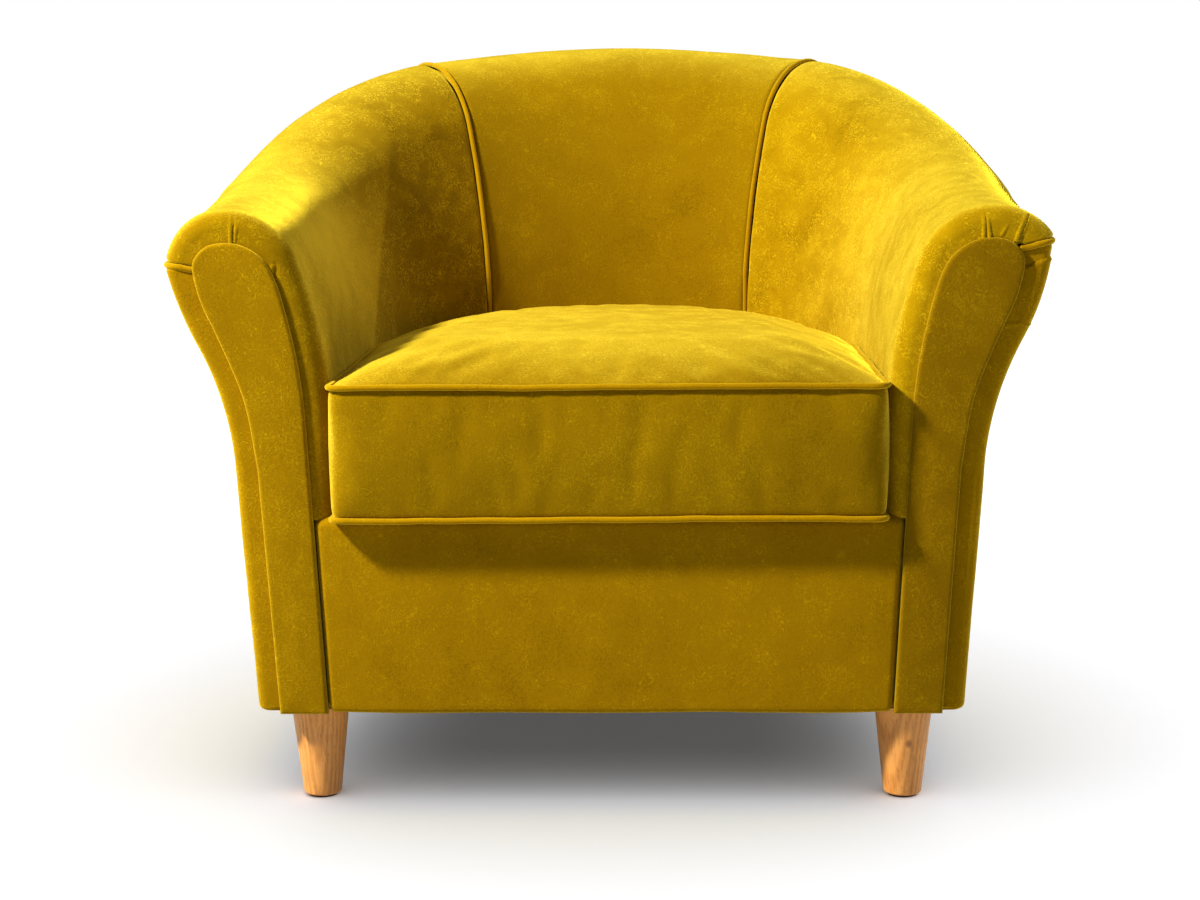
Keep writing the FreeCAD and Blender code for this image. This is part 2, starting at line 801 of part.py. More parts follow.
def make_deck():
    """Pad and cover of the seat deck, and the dust cover under the chair."""
    edge = foam_depth
    pad_top = deck_top - cushion_cover - gap
    pad = tub_plate(edge, seat_hoop_top + gap, pad_top, rail_back + gap)
    sheet = tub_plate(edge, deck_top - cushion_cover, deck_top, front_return + front_face + gap)
    dust_top = underside - gap
    dust = tub_plate(outer_offset(underside) - frame_outside, dust_top - dust_cover_thickness, dust_top,
                     rail_front)
    for x, y in leg_places().values():
        dust = dust.cut(Part.makeCylinder(leg_top_radius + dust_hole_play, 2 * hoop_thickness,
                                         Vector(x, y, dust_top - hoop_thickness)))
    return {"seat_deck_pad": pad, "seat_deck_cover": sheet, "dust_cover": dust}


def front_panel_limit():
    """Block between the inner edges of the two facings, which the front panel fits."""
    lean = (facing_inset - facing_foot_inside) / (facing_lean_top - facing_bottom)
    low = seat_half_width + facing_foot_inside - front_panel_gap
    margin = front_edge_radius
    top = deck_top + margin
    high = low + lean * (top - facing_bottom)
    bottom = facing_bottom - margin
    base = low - lean * margin
    points = [(-base, bottom), (base, bottom), (high, top), (-high, top), (-base, bottom)]
    face = Part.Face(Part.makePolygon([Vector(x, front_face - margin, z) for x, z in points]))
    return face.extrude(Vector(0, bend_depth, 0))


def front_profile(inset, low, back, level):
    """Upright face of the front panel with its rounded top edge, seen from the side."""
    face = front_face + inset
    top = deck_top - inset
    bend = front_edge_radius - inset
    turn = bend * (1 - math.sqrt(0.5))
    edges = [
        Part.LineSegment(Vector(0, face, low), Vector(0, face, top - bend)).toShape(),
        Part.Arc(Vector(0, face, top - bend), Vector(0, face + turn, top - turn),
                 Vector(0, face + bend, top)).toShape(),
        Part.LineSegment(Vector(0, face + bend, top), Vector(0, back, top)).toShape(),
        Part.LineSegment(Vector(0, back, top), Vector(0, back, level)).toShape(),
    ]
    return edges


def make_front_panel():
    """Velvet cover and padding of the front rail."""
    width = 2 * (seat_half_width + facing_inset + foam_depth)
    limit = front_panel_limit()
    back = front_face + front_return
    low = facing_bottom + front_panel_gap
    outer = front_profile(0, low, back, deck_top - cushion_cover)
    inner = front_profile(cushion_cover, low, back, 0)[:3]
    end = Part.LineSegment(Vector(0, front_face, low), Vector(0, front_face + cushion_cover, low)).toShape()
    face = Part.Face(Part.Wire(Part.__sortEdges__(outer + inner + [end])))
    cover = face.extrude(Vector(width, 0, 0))
    cover.translate(Vector(-width / 2, 0, 0))
    pad_front = front_face + cushion_cover + gap
    pad_back = rail_front - gap
    pad_inset = cushion_cover + gap
    pad_edges = front_profile(pad_inset, underside, rail_back, spring_rail_top + 2 * gap)
    pad_edges += [
        Part.LineSegment(Vector(0, rail_back, spring_rail_top + 2 * gap),
                         Vector(0, pad_back, spring_rail_top + 2 * gap)).toShape(),
        Part.LineSegment(Vector(0, pad_back, spring_rail_top + 2 * gap),
                         Vector(0, pad_back, underside)).toShape(),
        Part.LineSegment(Vector(0, pad_back, underside), Vector(0, pad_front, underside)).toShape(),
    ]
    pad_face = Part.Face(Part.Wire(Part.__sortEdges__(pad_edges)))
    pad = pad_face.extrude(Vector(width, 0, 0))
    pad.translate(Vector(-width / 2, 0, 0))
    room = box(-width, width, rail_front, rail_back + gap, 0, seat_hoop_top + gap)
    pad = pad.cut(room)
    return {"front_rail_cover": cover.common(limit), "front_rail_pad": pad.common(limit)}


def cushion_outline(inset, z):
    """Plan of the cushion: straight front with rounded corners, straight sides, round back."""
    half = cushion_half - inset
    front = cushion_front + inset
    corner = max(cushion_corner - inset, least_corner)
    turn = corner * (1 - math.sqrt(0.5))
    back = math.sqrt(0.5) * half
    rear = Vector(0, bend_depth + half, z)
    right = Vector(half, bend_depth, z)
    left = Vector(-half, bend_depth, z)
    low_right = Vector(half, front + corner, z)
    low_left = Vector(-half, front + corner, z)
    front_right = Vector(half - corner, front, z)
    front_left = Vector(-half + corner, front, z)
    return Part.Wire([
        Part.LineSegment(low_right, right).toShape(),
        Part.Arc(right, Vector(back, bend_depth + back, z), rear).toShape(),
        Part.Arc(rear, Vector(-back, bend_depth + back, z), left).toShape(),
        Part.LineSegment(left, low_left).toShape(),
        Part.Arc(low_left, Vector(-half + turn, front + turn, z), front_left).toShape(),
        Part.LineSegment(front_left, front_right).toShape(),
        Part.Arc(front_right, Vector(half - turn, front + turn, z), low_right).toShape(),
    ])


def cushion_piping(z):
    """Closed piping round the cushion at a level."""
    path = cushion_outline(piping_sink, z)
    start = path.Vertexes[0].Point
    ring = Part.Wire([Part.Circle(start, Vector(0, 1, 0), piping_radius).toShape()])
    return path.makePipeShell([ring], True, False)


def crown_sections(sink, inset):
    """Outlines of the crowned top, sunk and made smaller."""
    edge = piping_sink + crown_edge + inset
    sections = []
    for share in crown_rings:
        rise = 1 - (1 - share) ** crown_fullness
        level = cushion_piping_high + cushion_crown * rise - sink
        sections.append(cushion_outline(edge + (cushion_half - edge) * share, level))
    return sections


def cushion_foam():
    """Foam core with drawn-in sides and a crowned top."""
    skin = cushion_cover + gap
    edge = piping_sink + piping_radius + 2 * gap
    low = cushion_piping_low + seam_gap
    high = cushion_piping_high - seam_gap
    half = (high - low) / 2
    rings = [(cushion_bottom + skin, edge + foam_taper), (low, edge)]
    for share in (foam_shoulder / half - 1, -0.5, 0.0, 0.5, 1 - foam_shoulder / half):
        rings.append((low + half * (1 + share), skin + draw_in * (1 - share * share)))
    rings.append((high, edge))
    sections = [cushion_outline(inset, z) for z, inset in rings]
    sections += crown_sections(skin, 2 * gap)
    return Part.makeLoft(sections, True, True)


def arc_band(inner, outer, low, high, half_angle, centre_angle=90.0):
    """Curved band about the middle of the cushion's round back."""
    span = 2 * half_angle
    start = centre_angle - half_angle
    hub = Vector(0, bend_depth, low)
    solid = Part.makeCylinder(outer, high - low, hub, Vector(0, 0, 1), span)
    hole = Part.makeCylinder(inner, high - low, hub, Vector(0, 0, 1), span)
    band = solid.cut(hole)
    band.rotate(hub, Vector(0, 0, 1), start)
    return band


def make_zip(middle):
    """Window for the zip, its tape with teeth, and its slider."""
    face = cushion_half - draw_in
    half = zip_tape_height / 2
    tape_angle = zip_half_angle + zip_tape_end
    play = math.degrees(gap / face)
    window = arc_band(face - draw_in - cushion_cover, face + draw_in, middle - half - gap,
                      middle + half + gap, tape_angle + play)
    tape = arc_band(face - cushion_cover, face - gap, middle - half, middle + half, tape_angle)
    teeth = zip_teeth_height / 2
    row = arc_band(face - cushion_cover, face + zip_teeth_depth, middle - teeth, middle + teeth,
                   zip_half_angle + zip_teeth_end)
    reach = math.degrees(slider_length / 2 / face)
    at = 90.0 - zip_half_angle
    tall = slider_height / 2
    inner = face + zip_teeth_depth + gap
    slider = arc_band(inner, inner + slider_depth, middle - tall, middle + tall, reach, at)
    pull_reach = math.degrees(pull_width / 2 / face)
    pull = arc_band(inner + slider_depth - pull_thickness, inner + slider_depth,
                    middle - pull_length, middle - tall + 1, pull_reach, at)
    return window, tape.fuse(row), slider.fuse(pull)


def make_cushion():
    """Loose seat cushion with its cover, piping, foam and zip."""
    low = cushion_piping_low + seam_gap
    high = cushion_piping_high - seam_gap
    middle = (low + high) / 2
    outer = [cushion_outline(0, low), cushion_outline(draw_in, middle), cushion_outline(0, high)]
    inner = [
        cushion_outline(cushion_cover, low),
        cushion_outline(cushion_cover + draw_in, middle),
        cushion_outline(cushion_cover, high),
    ]
    boxing = Part.makeLoft(outer, True, False).cut(Part.makeLoft(inner, True, False))
    window, tape, slider = make_zip(middle)
    crown = Part.makeLoft(crown_sections(0, 0), True, False)
    hollow = Part.makeLoft(crown_sections(cushion_cover, gap), True, False)
    panel_inset = piping_sink + piping_radius + gap
    bottom = Part.Face(cushion_outline(panel_inset, cushion_bottom)).extrude(Vector(0, 0, cushion_cover))
    return {
        "cushion_boxing": boxing.cut(window),
        "cushion_top_panel": crown.cut(hollow),
        "cushion_bottom_panel": bottom,
        "cushion_piping_top": cushion_piping(cushion_piping_high),
        "cushion_piping_bottom": cushion_piping(cushion_piping_low),
        "cushion_foam": cushion_foam(),
        "zip_tape": tape,
        "zip_slider": slider,
    }


def export(parts):
    """Write each piece to its own file, in the part's frame."""
    os.makedirs("parts", exist_ok=True)
    for name, shape in sorted(parts.items()):
        moved = shape.copy()
        moved.translate(Vector(0, -middle_y, 0))
        if not moved.isValid():
            print("not valid:", name)
        moved.exportStep("parts/" + name + ".step")


def main():
    """Make every piece of the chair."""
    parts = {}
    parts.update(make_wall_layers())
    parts.update(make_piping())
    facing_cover, facing_board = make_facing()
    parts["facing_cover_right"] = facing_cover
    parts["facing_cover_left"] = mirrored(facing_cover)
    parts["facing_board_right"] = facing_board
    parts["facing_board_left"] = mirrored(facing_board)
    parts.update(make_frame())
    parts.update(make_legs())
    parts.update(make_springs())
    parts.update(make_deck())
    parts.update(make_front_panel())
    parts.update(make_cushion())
    export(parts)


main()
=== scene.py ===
import json
import logging
import math
from dataclasses import dataclass, field
from enum import Enum
from typing import Callable, Iterable, Sequence

import bmesh
import bpy
import numpy as np
from mathutils import Matrix, Vector
from mathutils.geometry import delaunay_2d_cdt


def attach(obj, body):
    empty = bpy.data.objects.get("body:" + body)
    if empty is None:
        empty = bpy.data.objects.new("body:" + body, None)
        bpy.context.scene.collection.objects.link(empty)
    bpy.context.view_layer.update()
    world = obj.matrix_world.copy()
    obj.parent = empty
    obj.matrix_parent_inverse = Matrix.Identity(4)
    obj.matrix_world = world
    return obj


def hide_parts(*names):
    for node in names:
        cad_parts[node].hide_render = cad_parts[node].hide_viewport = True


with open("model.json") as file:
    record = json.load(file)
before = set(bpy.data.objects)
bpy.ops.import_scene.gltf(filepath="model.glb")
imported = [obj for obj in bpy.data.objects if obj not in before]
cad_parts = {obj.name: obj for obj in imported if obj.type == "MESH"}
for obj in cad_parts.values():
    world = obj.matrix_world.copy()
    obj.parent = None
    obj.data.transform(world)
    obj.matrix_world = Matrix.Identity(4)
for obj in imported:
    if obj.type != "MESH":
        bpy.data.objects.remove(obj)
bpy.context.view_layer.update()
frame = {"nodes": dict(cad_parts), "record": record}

# A tub chair in mustard velvet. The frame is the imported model, in metres, with +Z up and the open
# front towards -Y. Along the tub, `t` runs from the right arm's front round the back to the left one.

LOG = logging.getLogger("tub_chair")
Array = np.ndarray
CHAIR = "chair"
CUSHION = "seat_cushion"
QUARTER = math.pi / 2
Colour = tuple[float, float, float]
Spot = tuple[float, float, float]
Pair = tuple[float, float]
Faces = list[tuple[int, ...]]
Socket = bpy.types.NodeSocket
Material = bpy.types.Material
Piece = bpy.types.Object

# Cells of the random field, corners round a cord, how far a cord's end bulges as a share of its
# radius, and the velvet's thickness.

LATTICE = 32
CORD_SIDES = 14
CORD_TIP = 0.6
SKIN = 0.0018


class Side(Enum):
    """Side of the chair, as seen from its front."""

    LEFT = -1
    RIGHT = 1

    @property
    def word(self) -> str:
        """Name of the side, as the nodes have it."""
        return self.name.lower()


# Small tools


def soft_noise(points: Array, size: float, seed: int) -> Array:
    """Smooth random field, about -1 to 1.

    Args:
        points: Places, with x, y, z in the last axis.
        size: Distance over which the field changes.
        seed: Number of the field.

    Returns:
        One value for each place.
    """
    lattice = np.random.default_rng(seed).uniform(-1.0, 1.0, (LATTICE, LATTICE, LATTICE))
    scaled = points / size + 2.0 * LATTICE
    base = np.floor(scaled).astype(int)
    part = scaled - base
    part = part * part * (3.0 - 2.0 * part)
    total = np.zeros(points.shape[:-1])
    for dx in (0, 1):
        for dy in (0, 1):
            for dz in (0, 1):
                weight = np.ones(points.shape[:-1])
                for axis, step in enumerate((dx, dy, dz)):
                    share = part[..., axis]
                    weight = weight * (share if step else 1.0 - share)
                index = tuple((base[..., a] + s) % LATTICE for a, s in enumerate((dx, dy, dz)))
                total += weight * lattice[index]
    return total


def uneven(points: Array, waves: Pair, ripples: Pair, seed: int) -> Array:
    """Height of a cover's waves and ripples, each given by height and size."""
    height = waves[0] * soft_noise(points, waves[1], seed)
    return height + ripples[0] * soft_noise(points, ripples[1], seed + 1)


def rolled(distance: Array, size: float) -> Array:
    """Depth of a rounded edge below the surface, which is `size` on the edge and 0 beyond the rounding."""
    reach = np.clip(size - distance, 0.0, size)
    return size - np.sqrt(size * size - reach * reach)


def eased(count: int, both_ends: bool = True) -> Array:
    """Shares from 0 to 1 that lie closer together at both ends, or only at the start.

    Args:
        count: Number of shares.
        both_ends: Whether they draw together at the end too.

    Returns:
        The shares.
    """
    x = np.linspace(0.0, 1.0, count)
    if both_ends:
        return 0.5 - 0.5 * np.cos(math.pi * x)
    return 1.0 - np.cos(QUARTER * x)


def with_ends(values: Array) -> Array:
    """The values with the first and the last one given twice."""
    return np.concatenate([values[:1], values, values[-1:]])


def grid_normals(grid: Array) -> Array:
    """Unit normals of a grid of points.

    Args:
        grid: The points, by row and column.

    Returns:
        The normal at each point.
    """
    along_rows = np.gradient(grid, axis=0)
    along_columns = np.gradient(grid, axis=1)
    normal = np.cross(along_columns, along_rows)
    length = np.linalg.norm(normal, axis=-1, keepdims=True)
    return normal / np.maximum(length, 1e-12)


def grid_faces(rows: int, columns: int, closed: bool = False) -> Faces:
    """Quads of a grid.

    Args:
        rows: Number of rows.
        columns: Number of points in a row.
        closed: Whether the last column joins the first.

    Returns:
        Corner numbers of each quad.
    """
    faces = []
    for r in range(rows - 1):
        for c in range(columns if closed else columns - 1):
            n = (c + 1) % columns
            a, b = r * columns + c, r * columns + n
            faces.append((a, b, b + columns, a + columns))
    return faces


def make_piece(name: str, points: Array, faces: Faces,
               flip: bool = False) -> Piece:
    """New smooth mesh object in the scene.

    Args:
        name: Name of the piece.
        points: Places of its corners.
        faces: Corner numbers of its faces.
        flip: Whether the faces are turned round.

    Returns:
        The object.
    """
    mesh = bpy.data.meshes.new(name)
    if flip:
        faces = [tuple(reversed(f)) for f in faces]
    mesh.from_pydata(np.asarray(points, float).reshape(-1, 3).tolist(), [], list(faces))
    mesh.validate()
    mesh.shade_smooth()
    piece = bpy.data.objects.new(name, mesh)
    bpy.context.scene.collection.objects.link(piece)
    return piece


def grid_piece(name: str, grid: Array, flip: bool = False) -> Piece:
    """New open skin over a grid of points."""
    return make_piece(name, grid, grid_faces(*grid.shape[:2]), flip)


def thicken(piece: Piece, depth: float = SKIN) -> None:
    """Give an open skin its thickness, on its inner side.

    Args:
        piece: The skin.
        depth: Its thickness.
    """
    skin = piece.modifiers.new("thickness", "SOLIDIFY")
    skin.thickness = depth
    skin.offset = -1.0
    skin.use_even_offset = False


def tube(name: str, path: Array, radius: Array, closed: bool = False) -> Piece:
    """Covered cord along a path.

    Args:
        name: Name of the piece.
        path: Points of its middle line.
        radius: Its radius at each point.
        closed: Whether its ends meet.

    Returns:
        The object.
    """
    if closed:
        ahead = np.roll(path, -1, axis=0) - np.roll(path, 1, axis=0)
    else:
        ahead = np.gradient(path, axis=0)
    ahead /= np.linalg.norm(ahead, axis=1, keepdims=True)
    side = np.cross(ahead[0], (0.0, 0.0, 1.0))
    if np.linalg.norm(side) < 0.1:
        side = np.cross(ahead[0], (1.0, 0.0, 0.0))
    rings = []
    sides = CORD_SIDES
    angles = np.linspace(0.0, 2.0 * math.pi, sides, endpoint=False)
    for point, way, size in zip(path, ahead, radius):
        side = side - way * np.dot(side, way)
        side /= np.linalg.norm(side)
        up = np.cross(side, way)
        ring = np.outer(np.cos(angles), side) + np.outer(np.sin(angles), up)
        rings.append(point + ring * size)
    points = np.array(rings)
    faces = grid_faces(len(path), sides, closed=True)
    if closed:
        last = (len(path) - 1) * sides
        shift = int(np.argmin(np.linalg.norm(points[0] - points[-1][0], axis=1)))
        for c in range(sides):
            a, b = last + c, last + (c + 1) % sides
            faces.append((a, b, (c + 1 + shift) % sides, (c + shift) % sides))
        return make_piece(name, points, faces)
    caps = []
    for end, point, way in ((0, path[0], -ahead[0]), (len(path) - 1, path[-1], ahead[-1])):
        caps.append((end, point + way * radius[end] * CORD_TIP))
    everything = np.vstack([points.reshape(-1, 3), [tip for _, tip in caps]])
    for k, (end, _) in enumerate(caps):
        tip = len(path) * sides + k
        for c in range(sides):
            a, b = end * sides + c, end * sides + (c + 1) % sides
            faces.append((tip, b, a) if end == 0 else (a, b, tip))
    return make_piece(name, everything, faces)


def resample(path: Array, step: float, closed: bool = False) -> Array:
    """The same line with evenly spaced points.

    Args:
        path: Points of the line.
        step: Distance between the new points.
        closed: Whether the line's ends meet.

    Returns:
        The new points.
    """
    line = shut(path) if closed else path
    gone = np.concatenate([[0.0], np.cumsum(np.linalg.norm(np.diff(line, axis=0), axis=1))])
    count = max(int(gone[-1] / step), 4)
    marks = np.linspace(0.0, gone[-1], count, endpoint=not closed)
    return np.stack([np.interp(marks, gone, line[:, k]) for k in range(3)], axis=1)


def shut(line: Array) -> Array:
    """The line with its first point again at its end."""
    return np.vstack([line, line[:1]])


def outward_of(line: Array) -> Array:
    """Level directions away from a closed line that runs anticlockwise.

    Args:
        line: Its points.

    Returns:
        A unit direction for each point, in as many coordinates as the points have.
    """
    ahead = np.roll(line, -1, axis=0) - np.roll(line, 1, axis=0)
    outward = np.zeros(line.shape)
    outward[:, 0], outward[:, 1] = ahead[:, 1], -ahead[:, 0]
    return outward / np.linalg.norm(outward, axis=1, keepdims=True)


def wavy(path: Array, amount: float, size: float, seed: int) -> Array:
    """A line with small hand-sewn wanders."""
    shifts = [soft_noise(path, size, seed + k) for k in range(3)]
    return path + amount * np.stack(shifts, axis=1)


def seated(piece: Piece, body: str, nodes: Iterable[str] = ()) -> Piece:
    """Put a piece on its body, and let it stand for its nodes.

    Args:
        piece: The piece.
        body: The body it rides on.
        nodes: The nodes that it replaces.

    Returns:
        The piece.
    """
    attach(piece, body)
    nodes = list(nodes)
    if nodes:
        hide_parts(*nodes)
    return piece


def dress(piece: Piece, material: Material) -> None:
    """Give a piece one finish all over."""
    piece.data.materials.clear()
    piece.data.materials.append(material)


def cover(piece: Piece, material: Material, nodes: Iterable[str], depth: float = SKIN) -> None:
    """Make a skin into a padded velvet cover of the chair.

    Args:
        piece: The open skin.
        material: Its finish.
        nodes: The nodes that it replaces.
        depth: Its thickness.
    """
    dress(piece, material)
    thicken(piece, depth)
    seated(piece, CHAIR, nodes)


# Finishes


class Chart:
    """Node tree of one finish."""

    def __init__(self, name: str) -> None:
        """Start an empty chart with its surface shader.

        Args:
            name: Name of the finish.
        """
        self.material = bpy.data.materials.new(name)
        self.material.use_nodes = True
        self.tree = self.material.node_tree
        self.tree.nodes.clear()
        out = self.tree.nodes.new("ShaderNodeOutputMaterial")
        self.shader = self.tree.nodes.new("ShaderNodeBsdfPrincipled")
        self.join(self.shader.outputs["BSDF"], out.inputs["Surface"])
        self.place = self.tree.nodes.new("ShaderNodeTexCoord").outputs["Object"]

    def join(self, source: Socket, target: Socket) -> None:
        """Link two sockets."""
        self.tree.links.new(source, target)

    def put(self, target: Socket, value: object) -> None:
        """Link or set a socket, whichever the value asks for.

        Args:
            target: The socket.
            value: Another node's output, or a number or colour.
        """
        if isinstance(value, Socket):
            self.join(value, target)
        else:
            target.default_value = value

    def node(self, kind: str, **sockets: object) -> bpy.types.Node:
        """New node.

        Args:
            kind: Its type, without the words in front that all shader nodes have.
            sockets: Value or source of each input, by its name with _ for a space.

        Returns:
            The node.
        """
        made = self.tree.nodes.new("ShaderNode" + kind)
        for name, value in sockets.items():
            self.put(made.inputs[name.replace("_", " ")], value)
        return made

    def scaled(self, scale: Sequence[float], shift: Sequence[float] = (0.0, 0.0, 0.0),
               turn: Sequence[float] = (0.0, 0.0, 0.0)) -> Socket:
        """Places stretched by the factors, then turned about the axes, then moved."""
        node = self.node("Mapping", Vector=self.place, Location=shift, Rotation=turn, Scale=scale)
        return node.outputs["Vector"]

    def noise(self, scale: float, detail: float = 2.0, rough: float = 0.5, twist: float = 0.0,
              place: Socket | None = None) -> Socket:
        """Cloudy noise from 0 to 1, with `scale` clouds in a metre and `detail` finer layers."""
        sockets = {"Scale": scale, "Detail": detail, "Roughness": rough, "Distortion": twist}
        return self.node("TexNoise", Vector=place or self.place, **sockets).outputs["Fac"]

    def cells(self, scale: float) -> Socket:
        """Distance to the nearest of many scattered points, `scale` of them in a metre."""
        return self.node("TexVoronoi", Vector=self.place, Scale=scale).outputs["Distance"]

    def rings(self, scale: float, twist: float, place: Socket, rings: bool = True) -> Socket:
        """Regular rings or bands, bent by noise.

        Args:
            scale: How close they are.
            twist: How much they are bent.
            place: Where they are read.
            rings: Whether they are rings round the upright axis, or else bands.

        Returns:
            The pattern, 0 to 1.
        """
        sockets = {"Scale": scale, "Distortion": twist, "Detail": 3.0, "Detail Scale": 1.6}
        node = self.node("TexWave", Vector=place, **sockets)
        node.wave_type = "RINGS" if rings else "BANDS"
        if rings:
            node.rings_direction = "Z"
        return node.outputs["Fac"]

    def facing(self) -> Socket:
        """How much the surface turns away from view, 0 to 1, for the sheen that is painted into the colour.
        """
        return self.node("LayerWeight", Blend=0.5).outputs["Facing"]

    def maths(self, what: str, a: object, b: object = 0.0, c: object = 0.0) -> Socket:
        """One step of arithmetic.

        Args:
            what: The operation.
            a: First value or output.
            b: Second value or output.
            c: Third value or output.

        Returns:
            The result.
        """
        node = self.tree.nodes.new("ShaderNodeMath")
        node.operation = what
        for socket, value in zip(node.inputs, (a, b, c)):
            self.put(socket, value)
        return node.outputs["Value"]

    def span(self, value: Socket, low: float, high: float, to_low: float = 0.0,
             to_high: float = 1.0) -> Socket:
        """A value brought smoothly from one range to another.

        Args:
            value: The value.
            low: Start of its range.
            high: End of its range.
            to_low: Result at and before the start.
            to_high: Result at and after the end.

        Returns:
            The result.
        """
        node = self.node("MapRange", Value=value, From_Min=low, From_Max=high, To_Min=to_low, To_Max=to_high)
        node.interpolation_type = "SMOOTHSTEP"
        return node.outputs["Result"]

    def part(self, share: Socket, factor: float) -> Socket:
        """A value times a factor."""
        return self.maths("MULTIPLY", share, factor)

    def mix(self, share: object, first: object, second: object) -> Socket:
        """Mixture of two colours.

        Args:
            share: How much of the second colour there is.
            first: First colour.
            second: Second colour.

        Returns:
            The mixture.
        """
        node = self.tree.nodes.new("ShaderNodeMix")
        node.data_type = "RGBA"
        self.put(node.inputs[0], share)
        self.put(node.inputs[6], first)
        self.put(node.inputs[7], second)
        return node.outputs[2]

    def bump(self, height: Socket, strength: float, depth: float,
             under: Socket | None = None) -> Socket:
        """Small relief.

        Args:
            height: Height of the surface.
            strength: How strongly it shades.
            depth: Depth of the relief.
            under: A coarser relief below it.

        Returns:
            The surface's direction.
        """
        node = self.node("Bump", Height=height, Strength=strength, Distance=depth)
        if under is not None:
            self.join(under, node.inputs["Normal"])
        return node.outputs["Normal"]

    def set(self, **sockets: object) -> None:
        """Set or link sockets of the shader.

        Args:
            sockets: Value of each socket, by its name with _ for a space.
        """
        for name, value in sockets.items():
            self.put(self.shader.inputs[name.replace("_", " ")], value)


def rgba(colour: Sequence[float], share: float = 1.0) -> tuple[float, float, float, float]:
    """Colour with full cover, at a share of its brightness."""
    return (colour[0] * share, colour[1] * share, colour[2] * share, 1.0)


@dataclass(frozen=True)
class Velvet:
    """Cut-pile velvet with a brushed, mottled nap, and a painted sheen: its colour turns pale where the
    surface is seen edge-on.
    """

    name: str
    deep: Colour = (0.200, 0.116, 0.0003)
    body: Colour = (0.296, 0.178, 0.0005)
    pale: Colour = (0.420, 0.274, 0.0026)
    # The next four values set a painted sheen: the pale colours the base colour turns to where the surface
    # is seen edge-on (for light and for dark nap), how far it turns, and from how edge-on it starts.
    painted_sheen_colour: Colour = (0.860, 0.655, 0.0680)
    painted_sheen_low_colour: Colour = (0.600, 0.432, 0.0280)
    painted_sheen_strength: float = 0.92
    painted_sheen_from: float = 0.18
    sheen: float = 0.8
    sheen_spread: float = 0.40
    sheen_tint: Colour = (1.0, 0.80, 0.07)
    mottle: float = 0.5
    brushed: float = 0.5
    streaks: float = 0.5
    cloud_scale: float = 4.5
    patch_scale: float = 22.0
    hair_scale: float = 130.0
    hair_width: float = 0.040
    tuft_scale: float = 42.0
    grain_scale: float = 520.0
    grain_share: float = 0.75
    hair_share: float = 0.55
    grain_relief: float = 0.0006
    hair_relief: float = 0.0008

    def hairs(self, chart: Chart) -> Socket:
        """Short curly streaks where a hand has brushed the pile.

        Args:
            chart: The finish's chart.

        Returns:
            1 on a streak, 0 beside it.
        """
        strokes = chart.noise(self.hair_scale, 2.0, 0.55, 1.8)
        curl = chart.maths("ABSOLUTE", chart.maths("SUBTRACT", strokes, 0.5))
        hair = chart.span(curl, 0.0, self.hair_width, 1.0, 0.0)
        where = chart.span(chart.noise(self.tuft_scale, 1.0, 0.5), 0.38, 0.60)
        return chart.maths("MULTIPLY", hair, where)

    def tone(self, chart: Chart, grain: Socket,
             hairs: Socket) -> Socket:
        """Lightness of the nap, about 0 to 1.

        Args:
            chart: The finish's chart.
            grain: Fine grain of the pile.
            hairs: Streaks of the pile.

        Returns:
            The lightness.
        """
        clouds = chart.noise(self.cloud_scale, 2.0, 0.5, 0.3)
        patches = chart.noise(self.patch_scale, 3.0, 0.6, 0.5)
        start = 0.5 - 0.5 * self.mottle - 0.5 * self.brushed
        tone = chart.maths("MULTIPLY_ADD", clouds, self.mottle, start)
        tone = chart.maths("MULTIPLY_ADD", patches, self.brushed, tone)
        fine = chart.maths("SUBTRACT", grain, 0.5)
        tone = chart.maths("MULTIPLY_ADD", fine, self.grain_share, tone)
        return chart.maths("MULTIPLY_ADD", hairs, self.hair_share * self.streaks, tone)

    def make(self) -> Material:
        """Build the finish.

        Returns:
            The material.
        """
        chart = Chart(self.name)
        hairs = self.hairs(chart)
        grain = chart.noise(self.grain_scale, 3.0, 0.65, 0.4)
        tone = self.tone(chart, grain, hairs)
        lower = chart.mix(chart.span(tone, 0.20, 0.50), rgba(self.deep), rgba(self.body))
        colour = chart.mix(chart.span(tone, 0.50, 0.85), lower, rgba(self.pale))
        # Painted sheen: the base colour is mixed towards pale colours where the surface turns away from
        # view.
        painted_sheen_share = chart.span(chart.facing(), self.painted_sheen_from, 1.0, 0.0, self.painted_sheen_strength)
        painted_sheen_share = chart.maths("MULTIPLY", painted_sheen_share, chart.span(tone, 0.15, 1.10, 0.70, 1.20))
        painted_sheen_colour = chart.mix(chart.span(tone, 0.30, 0.85), rgba(self.painted_sheen_low_colour), rgba(self.painted_sheen_colour))
        colour = chart.mix(painted_sheen_share, colour, painted_sheen_colour)
        pile = chart.bump(grain, 0.45, self.grain_relief)
        brush = chart.bump(hairs, 0.40, self.hair_relief, pile)
        chart.set(Base_Color=colour, Roughness=0.9, Normal=brush)
        chart.set(Specular_IOR_Level=0.04, Sheen_Weight=self.sheen, Sheen_Roughness=self.sheen_spread,
                  Sheen_Tint=rgba(self.sheen_tint))
        return chart.material


